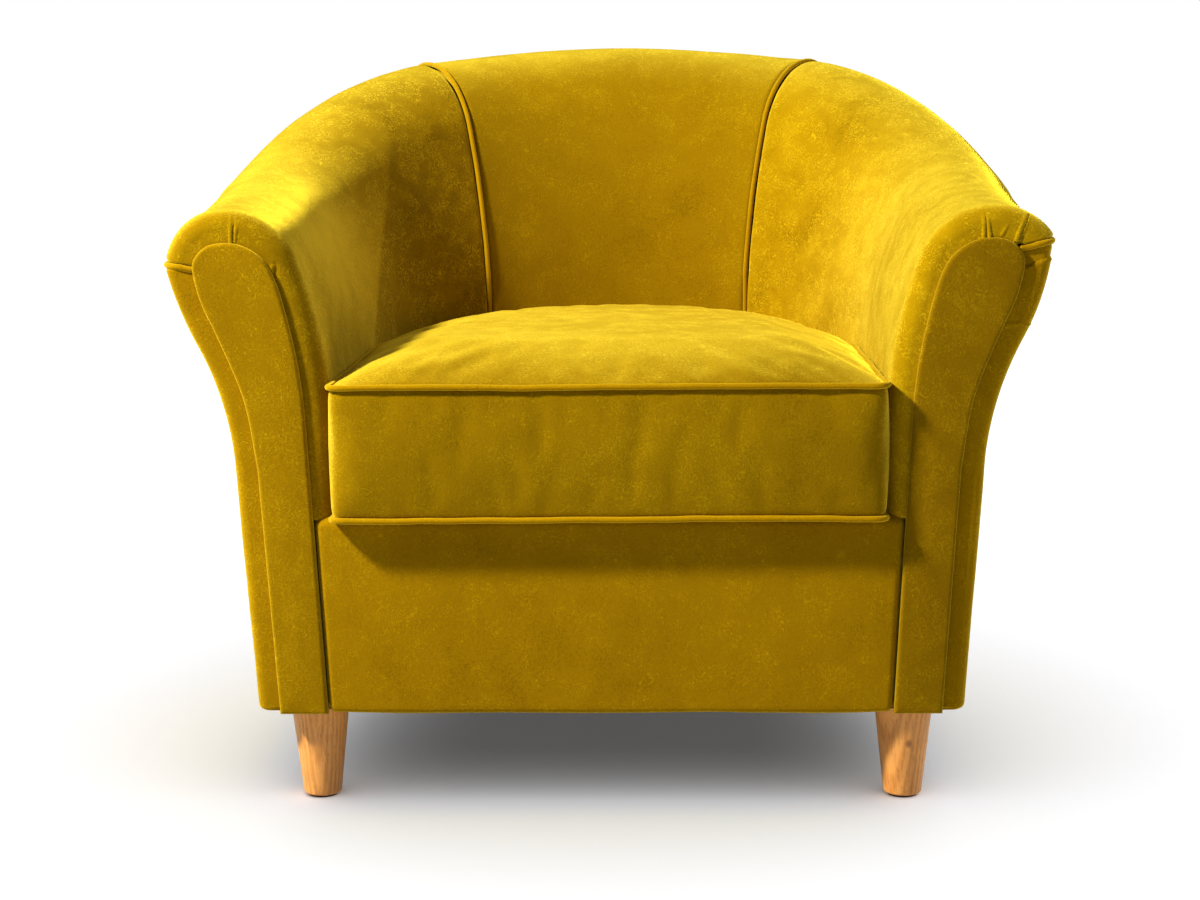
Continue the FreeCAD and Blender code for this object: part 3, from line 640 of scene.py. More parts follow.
@dataclass(frozen=True)
class LeftArmVelvet(Velvet):
    """Velvet of the left inside arm, lighter in a patch with a slanted start and end (partly brushed nap,
    partly painted light), and darker after the patch's end as painted shade.
    """

    brushed_lit_from: float = 0.520
    front_slant: float = 1.60
    front_fade: float = 0.20
    brushed_lit_to: float = -0.323
    slant: float = -0.630
    end_before: float = 0.004
    end_after: float = 0.006
    lit_and_brushed: float = 0.38
    painted_shade_depth: float = 0.16
    in_hairs: float = 0.9
    between_hairs: float = 0.5
    roll_from: float = 0.575
    roll_fade: float = 0.045
    on_roll: float = 0.10

    def tone(self, chart: Chart, grain: Socket,
             hairs: Socket) -> Socket:
        """Lightness of the nap, about 0 to 1, with the patch of painted light and the painted shade after
        it.
            hairs: Streaks of the pile.

        Returns:
            The lightness.
        """
        tone = super().tone(chart, grain, hairs)
        parts = chart.tree.nodes.new("ShaderNodeSeparateXYZ")
        chart.join(chart.place, parts.inputs[0])
        y, z = parts.outputs["Y"], parts.outputs["Z"]
        # The patch is partly brushed nap and partly painted light falling over the roll. After its slanted
        # end the nap is darkened as painted shade.
        front_line = chart.maths("MULTIPLY_ADD", z, self.front_slant, y)
        end_line = chart.maths("MULTIPLY_ADD", z, self.slant, y)
        end = (self.brushed_lit_to - self.end_before, self.brushed_lit_to + self.end_after)
        begun = chart.span(front_line, self.brushed_lit_from, self.brushed_lit_from + self.front_fade)
        ended = chart.span(end_line, *end, 1.0, 0.0)
        patch = chart.maths("MULTIPLY", begun, ended)
        after = chart.span(end_line, *end, 0.0, -self.painted_shade_depth)
        ragged = chart.maths("MULTIPLY_ADD", hairs, self.in_hairs, self.between_hairs)
        below_top = chart.span(z, self.roll_from, self.roll_from + self.roll_fade, 1.0, self.on_roll)
        patch = chart.maths("MULTIPLY", patch, below_top)
        tone = chart.maths("MULTIPLY_ADD", chart.maths("MULTIPLY", patch, ragged), self.lit_and_brushed, tone)
        return chart.maths("ADD", tone, after)


@dataclass(frozen=True)
class Beech:
    """Lacquered beech with rings round a heart, and one small knot where it is asked for."""

    name: str
    heart: Spot
    knot: Spot | None = None
    pale: Colour = (0.840, 0.425, 0.115)
    warm: Colour = (0.680, 0.305, 0.066)
    dark: Colour = (0.290, 0.100, 0.022)
    upright: float = 0.16
    wander_scale: float = 9.0
    ring_scale: float = 62.0
    ring_bend: float = 2.2
    fibre_scale: float = 420.0
    fibre_stretch: float = 0.05
    fleck_scale: float = 700.0
    knot_shape: Spot = (1.0, 0.6, 0.8)
    knot_inner: float = 0.0012
    knot_outer: float = 0.0052
    grain_relief: float = 0.0003

    def make(self) -> Material:
        """Build the finish.

        Returns:
            The material.
        """
        chart = Chart(self.name)
        x, y, z = self.heart
        warm, dark = rgba(self.warm), rgba(self.dark)
        place = chart.scaled((1.0, 1.0, self.upright), (-x, -y, -z * self.upright))
        wander = chart.span(chart.noise(self.wander_scale, 2.0, 0.5, 0.0, place), 0.3, 0.8)
        growth = chart.span(chart.rings(self.ring_scale, self.ring_bend, place), 0.15, 0.95)
        fibre_place = chart.scaled((1.0, 1.0, self.fibre_stretch))
        fine = chart.noise(self.fibre_scale, 3.0, 0.6, 0.0, fibre_place)
        fleck_place = chart.scaled((1.0, 1.0, self.upright))
        flecks = chart.span(chart.noise(self.fleck_scale, 1.0, 0.5, 0.0, fleck_place), 0.60, 0.72)
        colour = chart.mix(chart.part(growth, 0.72), rgba(self.pale), warm)
        colour = chart.mix(chart.part(wander, 0.35), colour, warm)
        colour = chart.mix(chart.part(chart.span(fine, 0.45, 0.75), 0.30), colour, dark)
        colour = chart.mix(chart.part(flecks, 0.28), colour, dark)
        if self.knot is not None:
            shift = [-k * s for k, s in zip(self.knot, self.knot_shape)]
            length = chart.tree.nodes.new("ShaderNodeVectorMath")
            length.operation = "LENGTH"
            chart.join(chart.scaled(self.knot_shape, shift), length.inputs[0])
            spot = chart.span(length.outputs["Value"], self.knot_inner, self.knot_outer, 1.0, 0.0)
            colour = chart.mix(chart.part(spot, 0.75), colour, dark)
        grain = chart.bump(fine, 0.15, self.grain_relief)
        chart.set(Base_Color=colour, Roughness=chart.span(fine, 0.3, 0.8, 0.36, 0.50), Normal=grain)
        chart.set(Specular_IOR_Level=0.45, Coat_Weight=0.25, Coat_Roughness=0.30)
        return chart.material


@dataclass(frozen=True)
class Timber:
    """Unfinished softwood or plywood of the hidden frame."""

    name: str
    pale: Colour = (0.60, 0.42, 0.24)
    dark: Colour = (0.42, 0.25, 0.12)
    plies: float = 0.0
    grain_scale: float = 40.0
    fibre_scale: float = 260.0
    relief: float = 0.0004

    def make(self) -> Material:
        """Build the finish.

        Returns:
            The material.
        """
        chart = Chart(self.name)
        place = chart.scaled((0.25, 1.0, 1.0))
        grain = chart.rings(self.grain_scale, 5.0, place, rings=False)
        fine = chart.noise(self.fibre_scale, 3.0, 0.6, 0.0, place)
        colour = chart.mix(chart.part(grain, 0.6), rgba(self.pale), rgba(self.dark))
        if self.plies:
            upright = chart.scaled((0.0, 0.0, 1.0), turn=(0.0, QUARTER, 0.0))
            layers = chart.rings(self.plies, 0.4, upright, rings=False)
            colour = chart.mix(chart.part(layers, 0.45), colour, rgba(self.dark))
        chart.set(Base_Color=colour, Roughness=0.72, Normal=chart.bump(fine, 0.3, self.relief))
        return chart.material


@dataclass(frozen=True)
class Cloth:
    """Plain woven or felted cloth."""

    name: str
    colour: Colour
    thread: float = 1500.0
    roughness: float = 0.9
    cloud_scale: float = 40.0
    low_share: float = 0.72
    relief: float = 0.0003

    def make(self) -> Material:
        """Build the finish.

        Returns:
            The material.
        """
        chart = Chart(self.name)
        warp = chart.rings(self.thread, 1.0, chart.scaled((1.0, 0.0, 0.3)), rings=False)
        crosswise = chart.scaled((0.0, 1.0, 0.3), turn=(0.0, 0.0, QUARTER))
        weft = chart.rings(self.thread, 1.0, crosswise, rings=False)
        weave = chart.maths("ADD", warp, weft)
        clouds = chart.span(chart.noise(self.cloud_scale, 4.0, 0.6), 0.3, 0.7)
        colour = chart.mix(clouds, rgba(self.colour, self.low_share), rgba(self.colour))
        relief = chart.bump(weave, 0.3, self.relief)
        chart.set(Base_Color=colour, Roughness=self.roughness, Normal=relief)
        chart.set(Sheen_Weight=0.15)
        return chart.material


@dataclass(frozen=True)
class Foam:
    """Cut upholstery foam with open pores."""

    name: str = "foam"
    colour: Colour = (0.80, 0.74, 0.55)
    pore_scale: float = 900.0
    low_share: float = 0.7
    relief: float = 0.0006

    def make(self) -> Material:
        """Build the finish.

        Returns:
            The material.
        """
        chart = Chart(self.name)
        pores = chart.cells(self.pore_scale)
        wall = chart.span(pores, 0.1, 0.6)
        colour = chart.mix(wall, rgba(self.colour, self.low_share), rgba(self.colour))
        chart.set(Base_Color=colour, Roughness=0.95, Normal=chart.bump(pores, 0.5, self.relief))
        return chart.material


@dataclass(frozen=True)
class Metal:
    """Drawn or lacquered metal with fine scratches."""

    name: str
    colour: Colour
    roughness: float = 0.35
    metallic: float = 1.0
    scratch_scale: float = 800.0
    low_share: float = 0.8
    relief: float = 0.0002

    def make(self) -> Material:
        """Build the finish.

        Returns:
            The material.
        """
        chart = Chart(self.name)
        scratch = chart.noise(self.scratch_scale, 3.0, 0.6, 0.0, chart.scaled((1.0, 0.15, 1.0)))
        bright = chart.span(scratch, 0.3, 0.7)
        colour = chart.mix(bright, rgba(self.colour, self.low_share), rgba(self.colour))
        rough = chart.span(scratch, 0.3, 0.7, self.roughness * 0.8, self.roughness * 1.3)
        chart.set(Base_Color=colour, Roughness=rough, Normal=chart.bump(scratch, 0.15, self.relief))
        chart.set(Metallic=self.metallic)
        return chart.material


@dataclass(frozen=True)
class Plastic:
    """Moulded plastic with a fine texture."""

    name: str
    colour: Colour
    roughness: float = 0.55
    skin_scale: float = 1500.0
    wear_scale: float = 60.0
    low_share: float = 0.75
    relief: float = 0.0002

    def make(self) -> Material:
        """Build the finish.

        Returns:
            The material.
        """
        chart = Chart(self.name)
        skin = chart.noise(self.skin_scale, 2.0, 0.5)
        worn = chart.span(chart.noise(self.wear_scale, 3.0, 0.6), 0.35, 0.7)
        colour = chart.mix(worn, rgba(self.colour, self.low_share), rgba(self.colour))
        relief = chart.bump(skin, 0.25, self.relief)
        chart.set(Base_Color=colour, Roughness=self.roughness, Normal=relief)
        return chart.material


@dataclass
class Finishes:
    """Every finish of the chair, and those of the record's material slots by their names."""

    velvet: Material = field(init=False)
    arms: dict[Side, Material] = field(init=False)
    facings: dict[Side, Material] = field(init=False)
    panel: Material = field(init=False)
    piping: Material = field(init=False)
    by_slot: dict[str, Material] = field(init=False)

    def __post_init__(self) -> None:
        """Build every finish once."""
        self.velvet = Velvet("velvet_back", mottle=0.42, brushed=0.32, streaks=0.5).make()
        arm = {"mottle": 0.45, "streaks": 1.5}
        left = LeftArmVelvet("velvet_arm_left", brushed=0.45, **arm)
        # The right inside arm's velvet is a lighter copy of the arm velvet, as painted light where the key
        # lamp falls on that arm.
        right = Velvet("velvet_arm_right_painted_light", deep=(0.270, 0.160, 0.0006), body=(0.390, 0.243, 0.0012),
                       pale=(0.540, 0.360, 0.006), brushed=0.60, **arm)
        self.arms = {Side.LEFT: left.make(), Side.RIGHT: right.make()}
        flat = {"mottle": 0.35, "brushed": 0.35}
        self.panel = Velvet("velvet_panel", deep=(0.234, 0.130, 0.0003), body=(0.346, 0.200, 0.0005),
                            pale=(0.490, 0.305, 0.0026), painted_sheen_strength=0.36, streaks=0.5, **flat).make()
        # The two facings are lit and shaded copies of one velvet: the right one is darker, as painted shade.
        left = Velvet("velvet_facing_left", deep=(0.216, 0.122, 0.0003), body=(0.320, 0.188, 0.0005),
                      pale=(0.455, 0.290, 0.0026), painted_sheen_strength=0.34, streaks=0.7, **flat)
        right = Velvet("velvet_facing_right_painted_shade", deep=(0.168, 0.094, 0.0003), body=(0.256, 0.148, 0.0005),
                       pale=(0.375, 0.236, 0.0022), painted_sheen_strength=0.34, streaks=0.7, **flat)
        self.facings = {Side.LEFT: left.make(), Side.RIGHT: right.make()}
        self.piping = Velvet("velvet_piping", deep=(0.260, 0.140, 0.0004), body=(0.400, 0.232, 0.0008),
                             pale=(0.520, 0.330, 0.004), painted_sheen_strength=0.6, mottle=0.2, brushed=0.2,
                             streaks=0.1).make()
        self.by_slot = {
            "velvet": self.velvet,
            "piping": self.piping,
            "timber": Timber("timber").make(),
            "plywood": Timber("plywood", (0.64, 0.47, 0.28), (0.40, 0.26, 0.13), 420.0).make(),
            "foam": Foam().make(),
            "liner_board": Cloth("calico", (0.62, 0.55, 0.42)).make(),
            "steel": Metal("steel", (0.55, 0.55, 0.57), 0.32).make(),
            "glide_plastic": Plastic("glide_plastic", (0.045, 0.043, 0.040)).make(),
            "dust_cloth": Cloth("dust_cloth", (0.018, 0.018, 0.019), 900.0).make(),
            "zip_cloth": Cloth("zip_cloth", (0.36, 0.22, 0.006), 2200.0).make(),
            "zip_metal": Metal("zip_metal", (0.42, 0.27, 0.03), 0.38, 0.6).make(),
        }


# Shape of the tub


@dataclass(frozen=True)
class Tub:
    """Plan, rim and wall section of the tub."""

    half_width: float = 0.277
    bend: float = 0.300
    seam_turn: float = math.radians(34.4)
    heights: tuple[float, ...] = (0.603, 0.632, 0.757, 0.777)
    flares: tuple[float, ...] = (0.103, 0.112, 0.152, 0.158)
    flare_turn: float = math.radians(20.0)
    tight_share: float = 0.742
    roll: float = 0.058
    roll_end: float = math.radians(165.5)
    foot_width: float = 0.080
    lean: float = math.radians(3.6)
    top_lean: float = math.radians(12.0)
    flare_drop: float = 0.029
    underside: float = 0.100
    deck: float = 0.2967
    face: float = 0.0083
    edge: float = 0.018
    outer_edge: float = 0.009
    cord: float = 0.0029
    cord_sink: float = 0.0015
    cord_play: float = 0.00085
    seam_gap: float = 0.0032
    back_shift: float = 0.386076
    calm_below: float = 0.395
    calm_fade: float = 0.050
    sunk: float = 0.0008

    @property
    def middle(self) -> float:
        """Distance along the tub to the middle of the back."""
        return self.bend + self.half_width * QUARTER

    @property
    def seam(self) -> float:
        """Distance along the tub to the right back seam."""
        return self.middle - self.half_width * self.seam_turn

    @property
    def seam_drop(self) -> float:
        """Height of the roll's seam above the roll's middle."""
        return self.roll * math.sin(self.roll_end)

    @property
    def seam_reach(self) -> float:
        """Distance of the roll's seam outside the roll's middle."""
        return -self.roll * math.cos(self.roll_end)

    def between(self, values: Sequence[float], t: Array) -> Array:
        """Smooth line through the values at the front, the bend, the seams and the middle.

        Args:
            values: Its four values.
            t: Distance along the tub.

        Returns:
            The value at each distance.
        """
        places = np.array([0.0, self.bend, self.seam, self.middle])
        heights = np.array(values)
        t = np.minimum(t, 2.0 * self.middle - t)
        steps = np.diff(heights) / np.diff(places)
        slopes = np.zeros(4)
        slopes[1:3] = 2.0 * steps[:-1] * steps[1:] / (steps[:-1] + steps[1:])
        i = np.clip(np.searchsorted(places, t, side="right") - 1, 0, 2)
        width = places[i + 1] - places[i]
        u = (t - places[i]) / width
        rise = (heights[i + 1] - heights[i]) * u * u * (3.0 - 2.0 * u)
        bends = u * (1.0 - u) ** 2 * width * slopes[i] + u * u * (u - 1.0) * width * slopes[i + 1]
        return heights[i] + rise + bends

    def rim(self, t: Array) -> Array:
        """Height of the rim's top."""
        return self.between(self.heights, t)

    def flare(self, t: Array) -> Array:
        """Distance of the rim's top outside the seat."""
        return self.between(self.flares, t)

    def place(self, t: Array, out: Array, z: Array) -> Array:
        """Points round the tub.

        Args:
            t: Distance along the tub.
            out: Distance outside the seat's edge.
            z: Height.

        Returns:
            The points.
        """
        left = self.bend + math.pi * self.half_width
        angle = np.clip((t - self.bend) / self.half_width, 0.0, math.pi)
        reach = self.half_width + out
        x = reach * np.cos(angle)
        y = self.bend + reach * np.sin(angle) + np.minimum(t - self.bend, 0.0) - np.maximum(t - left, 0.0)
        x, y, z = np.broadcast_arrays(x, y - self.back_shift, z)
        return np.stack([x, y, z], axis=-1)

    def section(self, t: Array) -> dict[str, Array]:
        """Radii and centres of the wall's arcs.

        Args:
            t: Distance along the tub.

        Returns:
            The top's height and reach, both radii, and the height where the upright part ends.
        """
        top, out = self.rim(t), self.flare(t)
        tight = out * self.tight_share
        wide = (out - tight * math.cos(self.flare_turn)) / (1.0 - math.cos(self.flare_turn))
        start = top - wide * math.sin(self.flare_turn) - tight * (1.0 - math.sin(self.flare_turn))
        return {"top": top, "out": out, "tight": tight, "wide": wide, "start": start}

    def beside_cushion(self, points: Array, height: Array) -> Array:
        """A face's relief, calm and a little sunk beside the cushion."""
        free = np.clip((points[..., 2] - self.calm_below) / self.calm_fade, 0.0, 1.0)
        return height * free - self.sunk * (1.0 - free)

    def inner(self, t: Array, w: Array, inset: Array, foot: float) -> Array:
        """Points of the inner face.

        Args:
            t: Distance along the tub.
            w: Place on the section: 0 to 1 upright, then the wide arc, the tight one and the roll.
            inset: Depth into the wall.
            foot: Height of the face's foot.

        Returns:
            The points.
        """
        s = self.section(t)
        part = [np.clip(w - k, 0.0, 1.0) for k in range(4)]
        out = inset + 0.0 * t
        z = foot + (s["start"] - foot) * part[0]
        wide, tight, roll = s["wide"] - inset, s["tight"] - inset, self.roll - inset
        turn = self.flare_turn * part[1]
        on = w > 1.0
        out = np.where(on, s["wide"] - wide * np.cos(turn), out)
        z = np.where(on, s["start"] + wide * np.sin(turn), z)
        turn = self.flare_turn + (QUARTER - self.flare_turn) * part[2]
        on = w > 2.0
        out = np.where(on, s["out"] - tight * np.cos(turn), out)
        z = np.where(on, s["top"] - s["tight"] + tight * np.sin(turn), z)
        last = math.pi - np.arcsin(np.minimum(self.seam_drop / roll, 1.0))
        turn = QUARTER + (last - QUARTER) * part[3]
        on = w > 3.0
        out = np.where(on, s["out"] - roll * np.cos(turn), out)
        z = np.where(on, s["top"] - self.roll + roll * np.sin(turn), z)
        return self.place(t, out, z)

    def outer(self, t: Array, w: Array, inset: Array) -> Array:
        """Points of the outer face.

        Args:
            t: Distance along the tub.
            w: Place on the section: 0 to 1 upright, then the two arcs up to the seam.
            inset: Depth into the wall.

        Returns:
            The points.
        """
        s = self.section(t)
        middle = s["top"] - self.roll
        low = s["start"] - self.flare_drop
        first = (self.foot_width + (low - self.underside) * math.tan(self.lean), low)
        gap = 2.0 * (self.cord + self.cord_play)
        level = middle + self.seam_drop - gap
        last = (s["out"] + self.seam_reach - self.cord_sink, level)
        rise = last[1] - first[1]
        slant = np.arctan((last[0] - first[0]) / rise)
        mean = (np.cos(self.lean - slant) + np.cos(self.top_lean - slant)) / 2.0
        steep = slant + np.arccos(mean)
        bend = rise / (2.0 * np.sin(steep) - math.sin(self.lean) - math.sin(self.top_lean))
        cx, cz = first[0] + bend * math.cos(self.lean), first[1] - bend * math.sin(self.lean)
        hx, hz = cx - 2.0 * bend * np.cos(steep), cz + 2.0 * bend * np.sin(steep)
        end = np.arcsin(np.clip((hz - level) / (bend - inset), -1.0, 1.0))
        part = [np.clip(w - k, 0.0, 1.0) for k in range(3)]
        foot = self.underside
        corner = (cx - (bend + inset) * math.cos(self.lean), cz + (bend + inset) * math.sin(self.lean))
        z = foot + (corner[1] - foot) * part[0]
        out = corner[0] - (corner[1] - z) * math.tan(self.lean)
        turn = self.lean + (steep - self.lean) * part[1]
        on = w > 1.0
        out = np.where(on, cx - (bend + inset) * np.cos(turn), out)
        z = np.where(on, cz + (bend + inset) * np.sin(turn), z)
        turn = steep + (end - steep) * part[2]
        on = w > 2.0
        out = np.where(on, hx + (bend - inset) * np.cos(turn), out)
        z = np.where(on, hz - (bend - inset) * np.sin(turn), z)
        return self.place(t, out, z)


@dataclass(frozen=True)
class Crease:
    """A sewn-in crease or pleat on an arm's front, on the right arm's side of the middle."""

    points: tuple[Pair, ...]
    depth: float = 0.0016
    width: float = 0.0011
    ridge: float = 0.0
    ridge_side: float = 0.0020
    start_strength: float = 0.35
    reach: float = 0.030
    reach_fade: float = 0.014
    ridge_reach: float = 0.006
    ridge_fade: float = 0.003

    def relief(self, grid: Array) -> Array:
        """Height of the surface, from the distance to the crease's line.

        Args:
            grid: Points on the arm's front.

        Returns:
            Height at each point, below zero in the crease.
        """
        x, z = np.abs(grid[..., 0]), grid[..., 2]
        best = np.full(x.shape, 1.0)
        signed = np.full(x.shape, 1.0)
        along = np.zeros(x.shape)
        count = len(self.points) - 1
        for k, ((ax, az), (bx, bz)) in enumerate(zip(self.points, self.points[1:])):
            dx, dz = bx - ax, bz - az
            size = dx * dx + dz * dz
            u = np.clip(((x - ax) * dx + (z - az) * dz) / size, 0.0, 1.0)
            gap = np.hypot(x - ax - u * dx, z - az - u * dz)
            cross = ((x - ax) * dz - (z - az) * dx) / math.sqrt(size)
            nearer = gap < best
            best = np.where(nearer, gap, best)
            signed = np.where(nearer, np.where(cross >= 0.0, gap, -gap), signed)
            along = np.where(nearer, (k + u) / count, along)
        strength = self.start_strength + (1.0 - self.start_strength) * along
        front = np.clip((self.reach - (grid[..., 1] + Tub.back_shift)) / self.reach_fade, 0.0, 1.0)
        valley = -self.depth * np.exp(-((best / self.width) ** 2))
        hill = self.ridge * np.exp(-(((signed - self.ridge_side) / (abs(self.ridge_side) * 0.75)) ** 2))
        hill = hill * np.exp(-((np.maximum(best - self.ridge_reach, 0.0) / self.ridge_fade) ** 2))
        return (valley + hill) * strength * front


LEFT_CREASES = (
    Crease(((0.4140, 0.5780), (0.3975, 0.5648)), 0.0019, 0.0011, 0.0006, 0.0022),
    Crease(((0.3683, 0.5920), (0.3682, 0.5759), (0.3672, 0.5620)), 0.0030, 0.0013, 0.0018, 0.0025),
    Crease(((0.3630, 0.5875), (0.3650, 0.5729), (0.3664, 0.5620)), 0.0028, 0.0012),
    Crease(((0.3282, 0.5500), (0.3312, 0.5412), (0.3354, 0.5392), (0.3432, 0.5430)), 0.0040, 0.0014,
           0.0022, 0.0030),
)
RIGHT_CREASES = (
    Crease(((0.3677, 0.5925), (0.3677, 0.5803), (0.3674, 0.5670)), 0.0026, 0.0012, 0.0018, -0.0024),
    Crease(((0.3709, 0.5925), (0.3720, 0.5802), (0.3733, 0.5670)), 0.0030, 0.0012),
    Crease(((0.4090, 0.5926), (0.4033, 0.5810), (0.3984, 0.5680)), 0.0028, 0.0013, 0.0020, -0.0026),
    Crease(((0.4113, 0.5895), (0.4067, 0.5800), (0.4014, 0.5670)), 0.0026, 0.0012),
    Crease(((0.3328, 0.5582), (0.3446, 0.5464)), 0.0030, 0.0012, 0.0010, 0.0024),
    Crease(((0.3905, 0.5845), (0.3848, 0.5760)), 0.0010, 0.0012),
)


@dataclass
class ArmFront:
    """What differs between the two arm fronts."""

    side: Side
    lift: float
    slope: float
    creases: tuple[Crease, ...]
    seed: int
    fade: float = 0.060

    def shift(self, tub: Tub, t: Array, inset: Array, share: Array) -> Array:
        """Upward move of the roll's seam near the arm's front.

        Args:
            tub: The tub.
            t: Distance along the tub.
            inset: Depth into the wall.
            share: 1 at the seam, 0 where nothing moves.

        Returns:
            Moves of the points.
        """
        near = np.exp(-np.maximum(t - tub.face - tub.edge, 0.0) / self.fade)
        rise = (self.lift - self.slope * inset) * near * share ** 3
        return np.stack([0.0 * rise, 0.0 * rise, rise], axis=-1)


FRONTS = (
    ArmFront(Side.LEFT, -0.0045, 0.13, LEFT_CREASES, 11),
    ArmFront(Side.RIGHT, 0.0135, 0.19, RIGHT_CREASES, 23),
)


def on_side(grid: Array, side: Side) -> Array:
    """Points of the right half, put on a side."""
    return grid * np.array([float(side.value), 1.0, 1.0])


def straight(x: Array, start: Pair, end: Pair) -> Array:
    """Height at x of the straight line through two points."""
    return start[1] + (x - start[0]) * (end[1] - start[1]) / (end[0] - start[0])


# Covers


@dataclass
class InsideCover:
    """What the inside covers of the arms and the back share: their edges, rows and unevenness."""

    tub: Tub
    finishes: Finishes
    foot: float = 0.2970
    seam_roll: float = 0.0036
    foot_roll: float = 0.0050
    tuck: float = 0.014
    roll_length: float = 0.076
    foot_places: tuple[float, ...] = (0.0, 0.006, 0.014, 0.024, 0.038)
    upright_from: float = 0.055
    roll_to: float = 0.93
    roll_places: tuple[float, ...] = (0.95, 0.965, 0.98, 0.99, 1.0)
    row_counts: tuple[int, int, int, int] = (22, 50, 34, 26)
    waves: Pair = (0.0011, 0.12)
    ripples: Pair = (0.0004, 0.04)
    pucker: Pair = (0.00035, 0.009)
    pucker_reach: float = 0.014
    fill: float = 0.8

    def rows(self) -> Array:
        """Places on the section, with the first and the last one twice.

        Returns:
            The places, 0 at the foot and 4 at the roll's seam.
        """
        upright, wide, tight, roll = self.row_counts
        places = [self.foot_places, np.linspace(self.upright_from, 1.0, upright)[:-1],
                  1.0 + np.linspace(0.0, 1.0, wide)[:-1], 2.0 + np.linspace(0.0, 1.0, tight)[:-1],
                  3.0 + np.linspace(0.0, self.roll_to, roll), 3.0 + np.array(self.roll_places)]
        return with_ends(np.concatenate(places))

    def edges(self, t: Array, w: Array) -> Array:
        """Depth of the rounded foot and seam edge, and of the rows tucked in beyond them.

        Args:
            t: Distance along the tub.
            w: Place on the section.

        Returns:
            Depth into the wall.
        """
        start = self.tub.section(t)["start"] - self.foot
        foot = rolled(np.clip(w, 0.0, 1.0) * start, self.foot_roll)
        top = rolled(np.clip(4.0 - w, 0.0, 1.0) * self.roll_length, self.seam_roll)
        tucked = np.zeros(len(w))
        tucked[0] = tucked[-1] = self.tuck
        return np.where(w < 1.0, foot, 0.0) + np.where(w > 3.0, top, 0.0) + tucked[:, None]

    def unevenness(self, points: Array, to_seam: Array, seed: int) -> Array:
        """Waves and ripples of the cover, and its puckers along the back seam.

        Args:
            points: Points of the cover.
            to_seam: Distance of each from the back seam.
            seed: Number of the surface's unevenness.

        Returns:
            Height at each point.
        """
        height = uneven(points, self.waves, self.ripples, seed)
        rough = self.pucker[0] * soft_noise(points, self.pucker[1], seed + 2)
        return height + rough * np.exp(-to_seam / self.pucker_reach)


@dataclass
class InsideArms(InsideCover):
    """Inside arm covers: up from the deck, over the roll, and round the arm's front edge."""

    band_depth: float = 0.036
    flat_count: int = 14
    turn_count: int = 16
    run_count: int = 118
    row_counts: tuple[int, int, int, int] = (20, 44, 84, 62)
    waves: Pair = (0.0011, 0.11)
    ripples: Pair = (0.0004, 0.038)
    behind_from: float = 0.0185
    behind_fade: float = 0.010
    behind_sink: float = 0.0013

    def surface(self, front: ArmFront) -> Array:
        """Grid of one arm's cover.

        Args:
            front: The arm's front.

        Returns:
            The grid.
        """
        shares = 0.30 * eased(self.run_count, both_ends=False) + 0.70 * eased(self.run_count)
        t1, inset1 = arm_columns(self, self.tub.edge, shares)
        t, w = np.meshgrid(t1, self.rows())
        inset = inset1[None, :] + 0.0 * t
        bare = self.tub.inner(t, w, inset, self.foot)
        lift = front.shift(self.tub, t, inset, np.clip(w - 3.0, 0.0, 1.0))
        normal = grid_normals(bare + lift)
        grid = self.tub.inner(t, w, inset + self.edges(t, w), self.foot) + lift
        height = self.unevenness(bare, self.tub.seam - t, front.seed)
        for crease in front.creases:
            height = height + crease.relief(bare)
        on_face = t1 < self.tub.face + 1e-6
        behind = np.clip((inset1 - self.behind_from) / self.behind_fade, 0.0, 1.0) * on_face
        height = self.tub.beside_cushion(bare, height - self.behind_sink * behind[None, :])
        return on_side(grid + normal * height[..., None], front.side)

    def build(self) -> list[Piece]:
        """Both arms' covers.

        Returns:
            The covers.
        """
        pieces = []
        for front in FRONTS:
            word = front.side.word
            piece = grid_piece("inside_arm_" + word, self.surface(front), front.side is Side.LEFT)
            stands_for = ["inside_arm_cover_" + word, "arm_foam_" + word, "arm_liner_" + word]
            cover(piece, self.finishes.arms[front.side], stands_for)
            pieces.append(piece)
        return pieces


@dataclass
class InsideBack(InsideCover):
    """Inside back cover, between the two back seams."""

    column_count: int = 104
    seed: int = 41

    def build(self) -> list[Piece]:
        """The cover.

        Returns:
            The cover, in a list.
        """
        tub = self.tub
        first = tub.seam + tub.seam_gap
        last = 2.0 * tub.middle - first
        count = self.column_count
        t1 = first + (last - first) * (0.6 * np.linspace(0.0, 1.0, count) + 0.4 * eased(count))
        edge = rolled(np.minimum(t1 - first, last - t1), self.seam_roll)
        t, w = np.meshgrid(with_ends(t1), self.rows())
        inset = np.concatenate([[self.tuck], edge, [self.tuck]])[None, :] + self.edges(t, w)
        grid = tub.inner(t, w, inset, self.foot)
        normal = grid_normals(tub.inner(t, w, 0.0 * t, self.foot))
        height = self.unevenness(grid, np.minimum(t - first, last - t), self.seed)
        height = tub.beside_cushion(grid, height)
        piece = grid_piece("inside_back", grid + normal * height[..., None])
        cover(piece, self.finishes.velvet, ["inside_back_cover", "back_foam", "back_liner"])
        return [piece]


def arm_columns(skin: "InsideArms | OutsideCovers", edge: float, shares: Array) -> tuple[Array, Array]:
    """Columns of an arm's cover, from behind the facing to the back seam.

    Args:
        skin: The covers, for their counts and edges.
        edge: Radius of the arm's front edge.
        shares: Places of the columns between that edge and the seam.

    Returns:
        Distance along the tub and depth into the wall of each column.
    """
    tub = skin.tub
    flat = np.linspace(skin.band_depth, edge, skin.flat_count + 1)[:-1]
    turn = np.linspace(0.0, QUARTER, skin.turn_count)
    start, end = tub.face + edge, tub.seam - tub.seam_gap
    run = start + (end - start) * shares[1:]
    t = [np.full(skin.flat_count, tub.face), tub.face + edge * (1.0 - np.cos(turn)), run, [end]]
    inset = [flat, edge * (1.0 - np.sin(turn)), rolled(end - run, skin.seam_roll), [skin.tuck]]
    return np.concatenate(t), np.concatenate(inset)


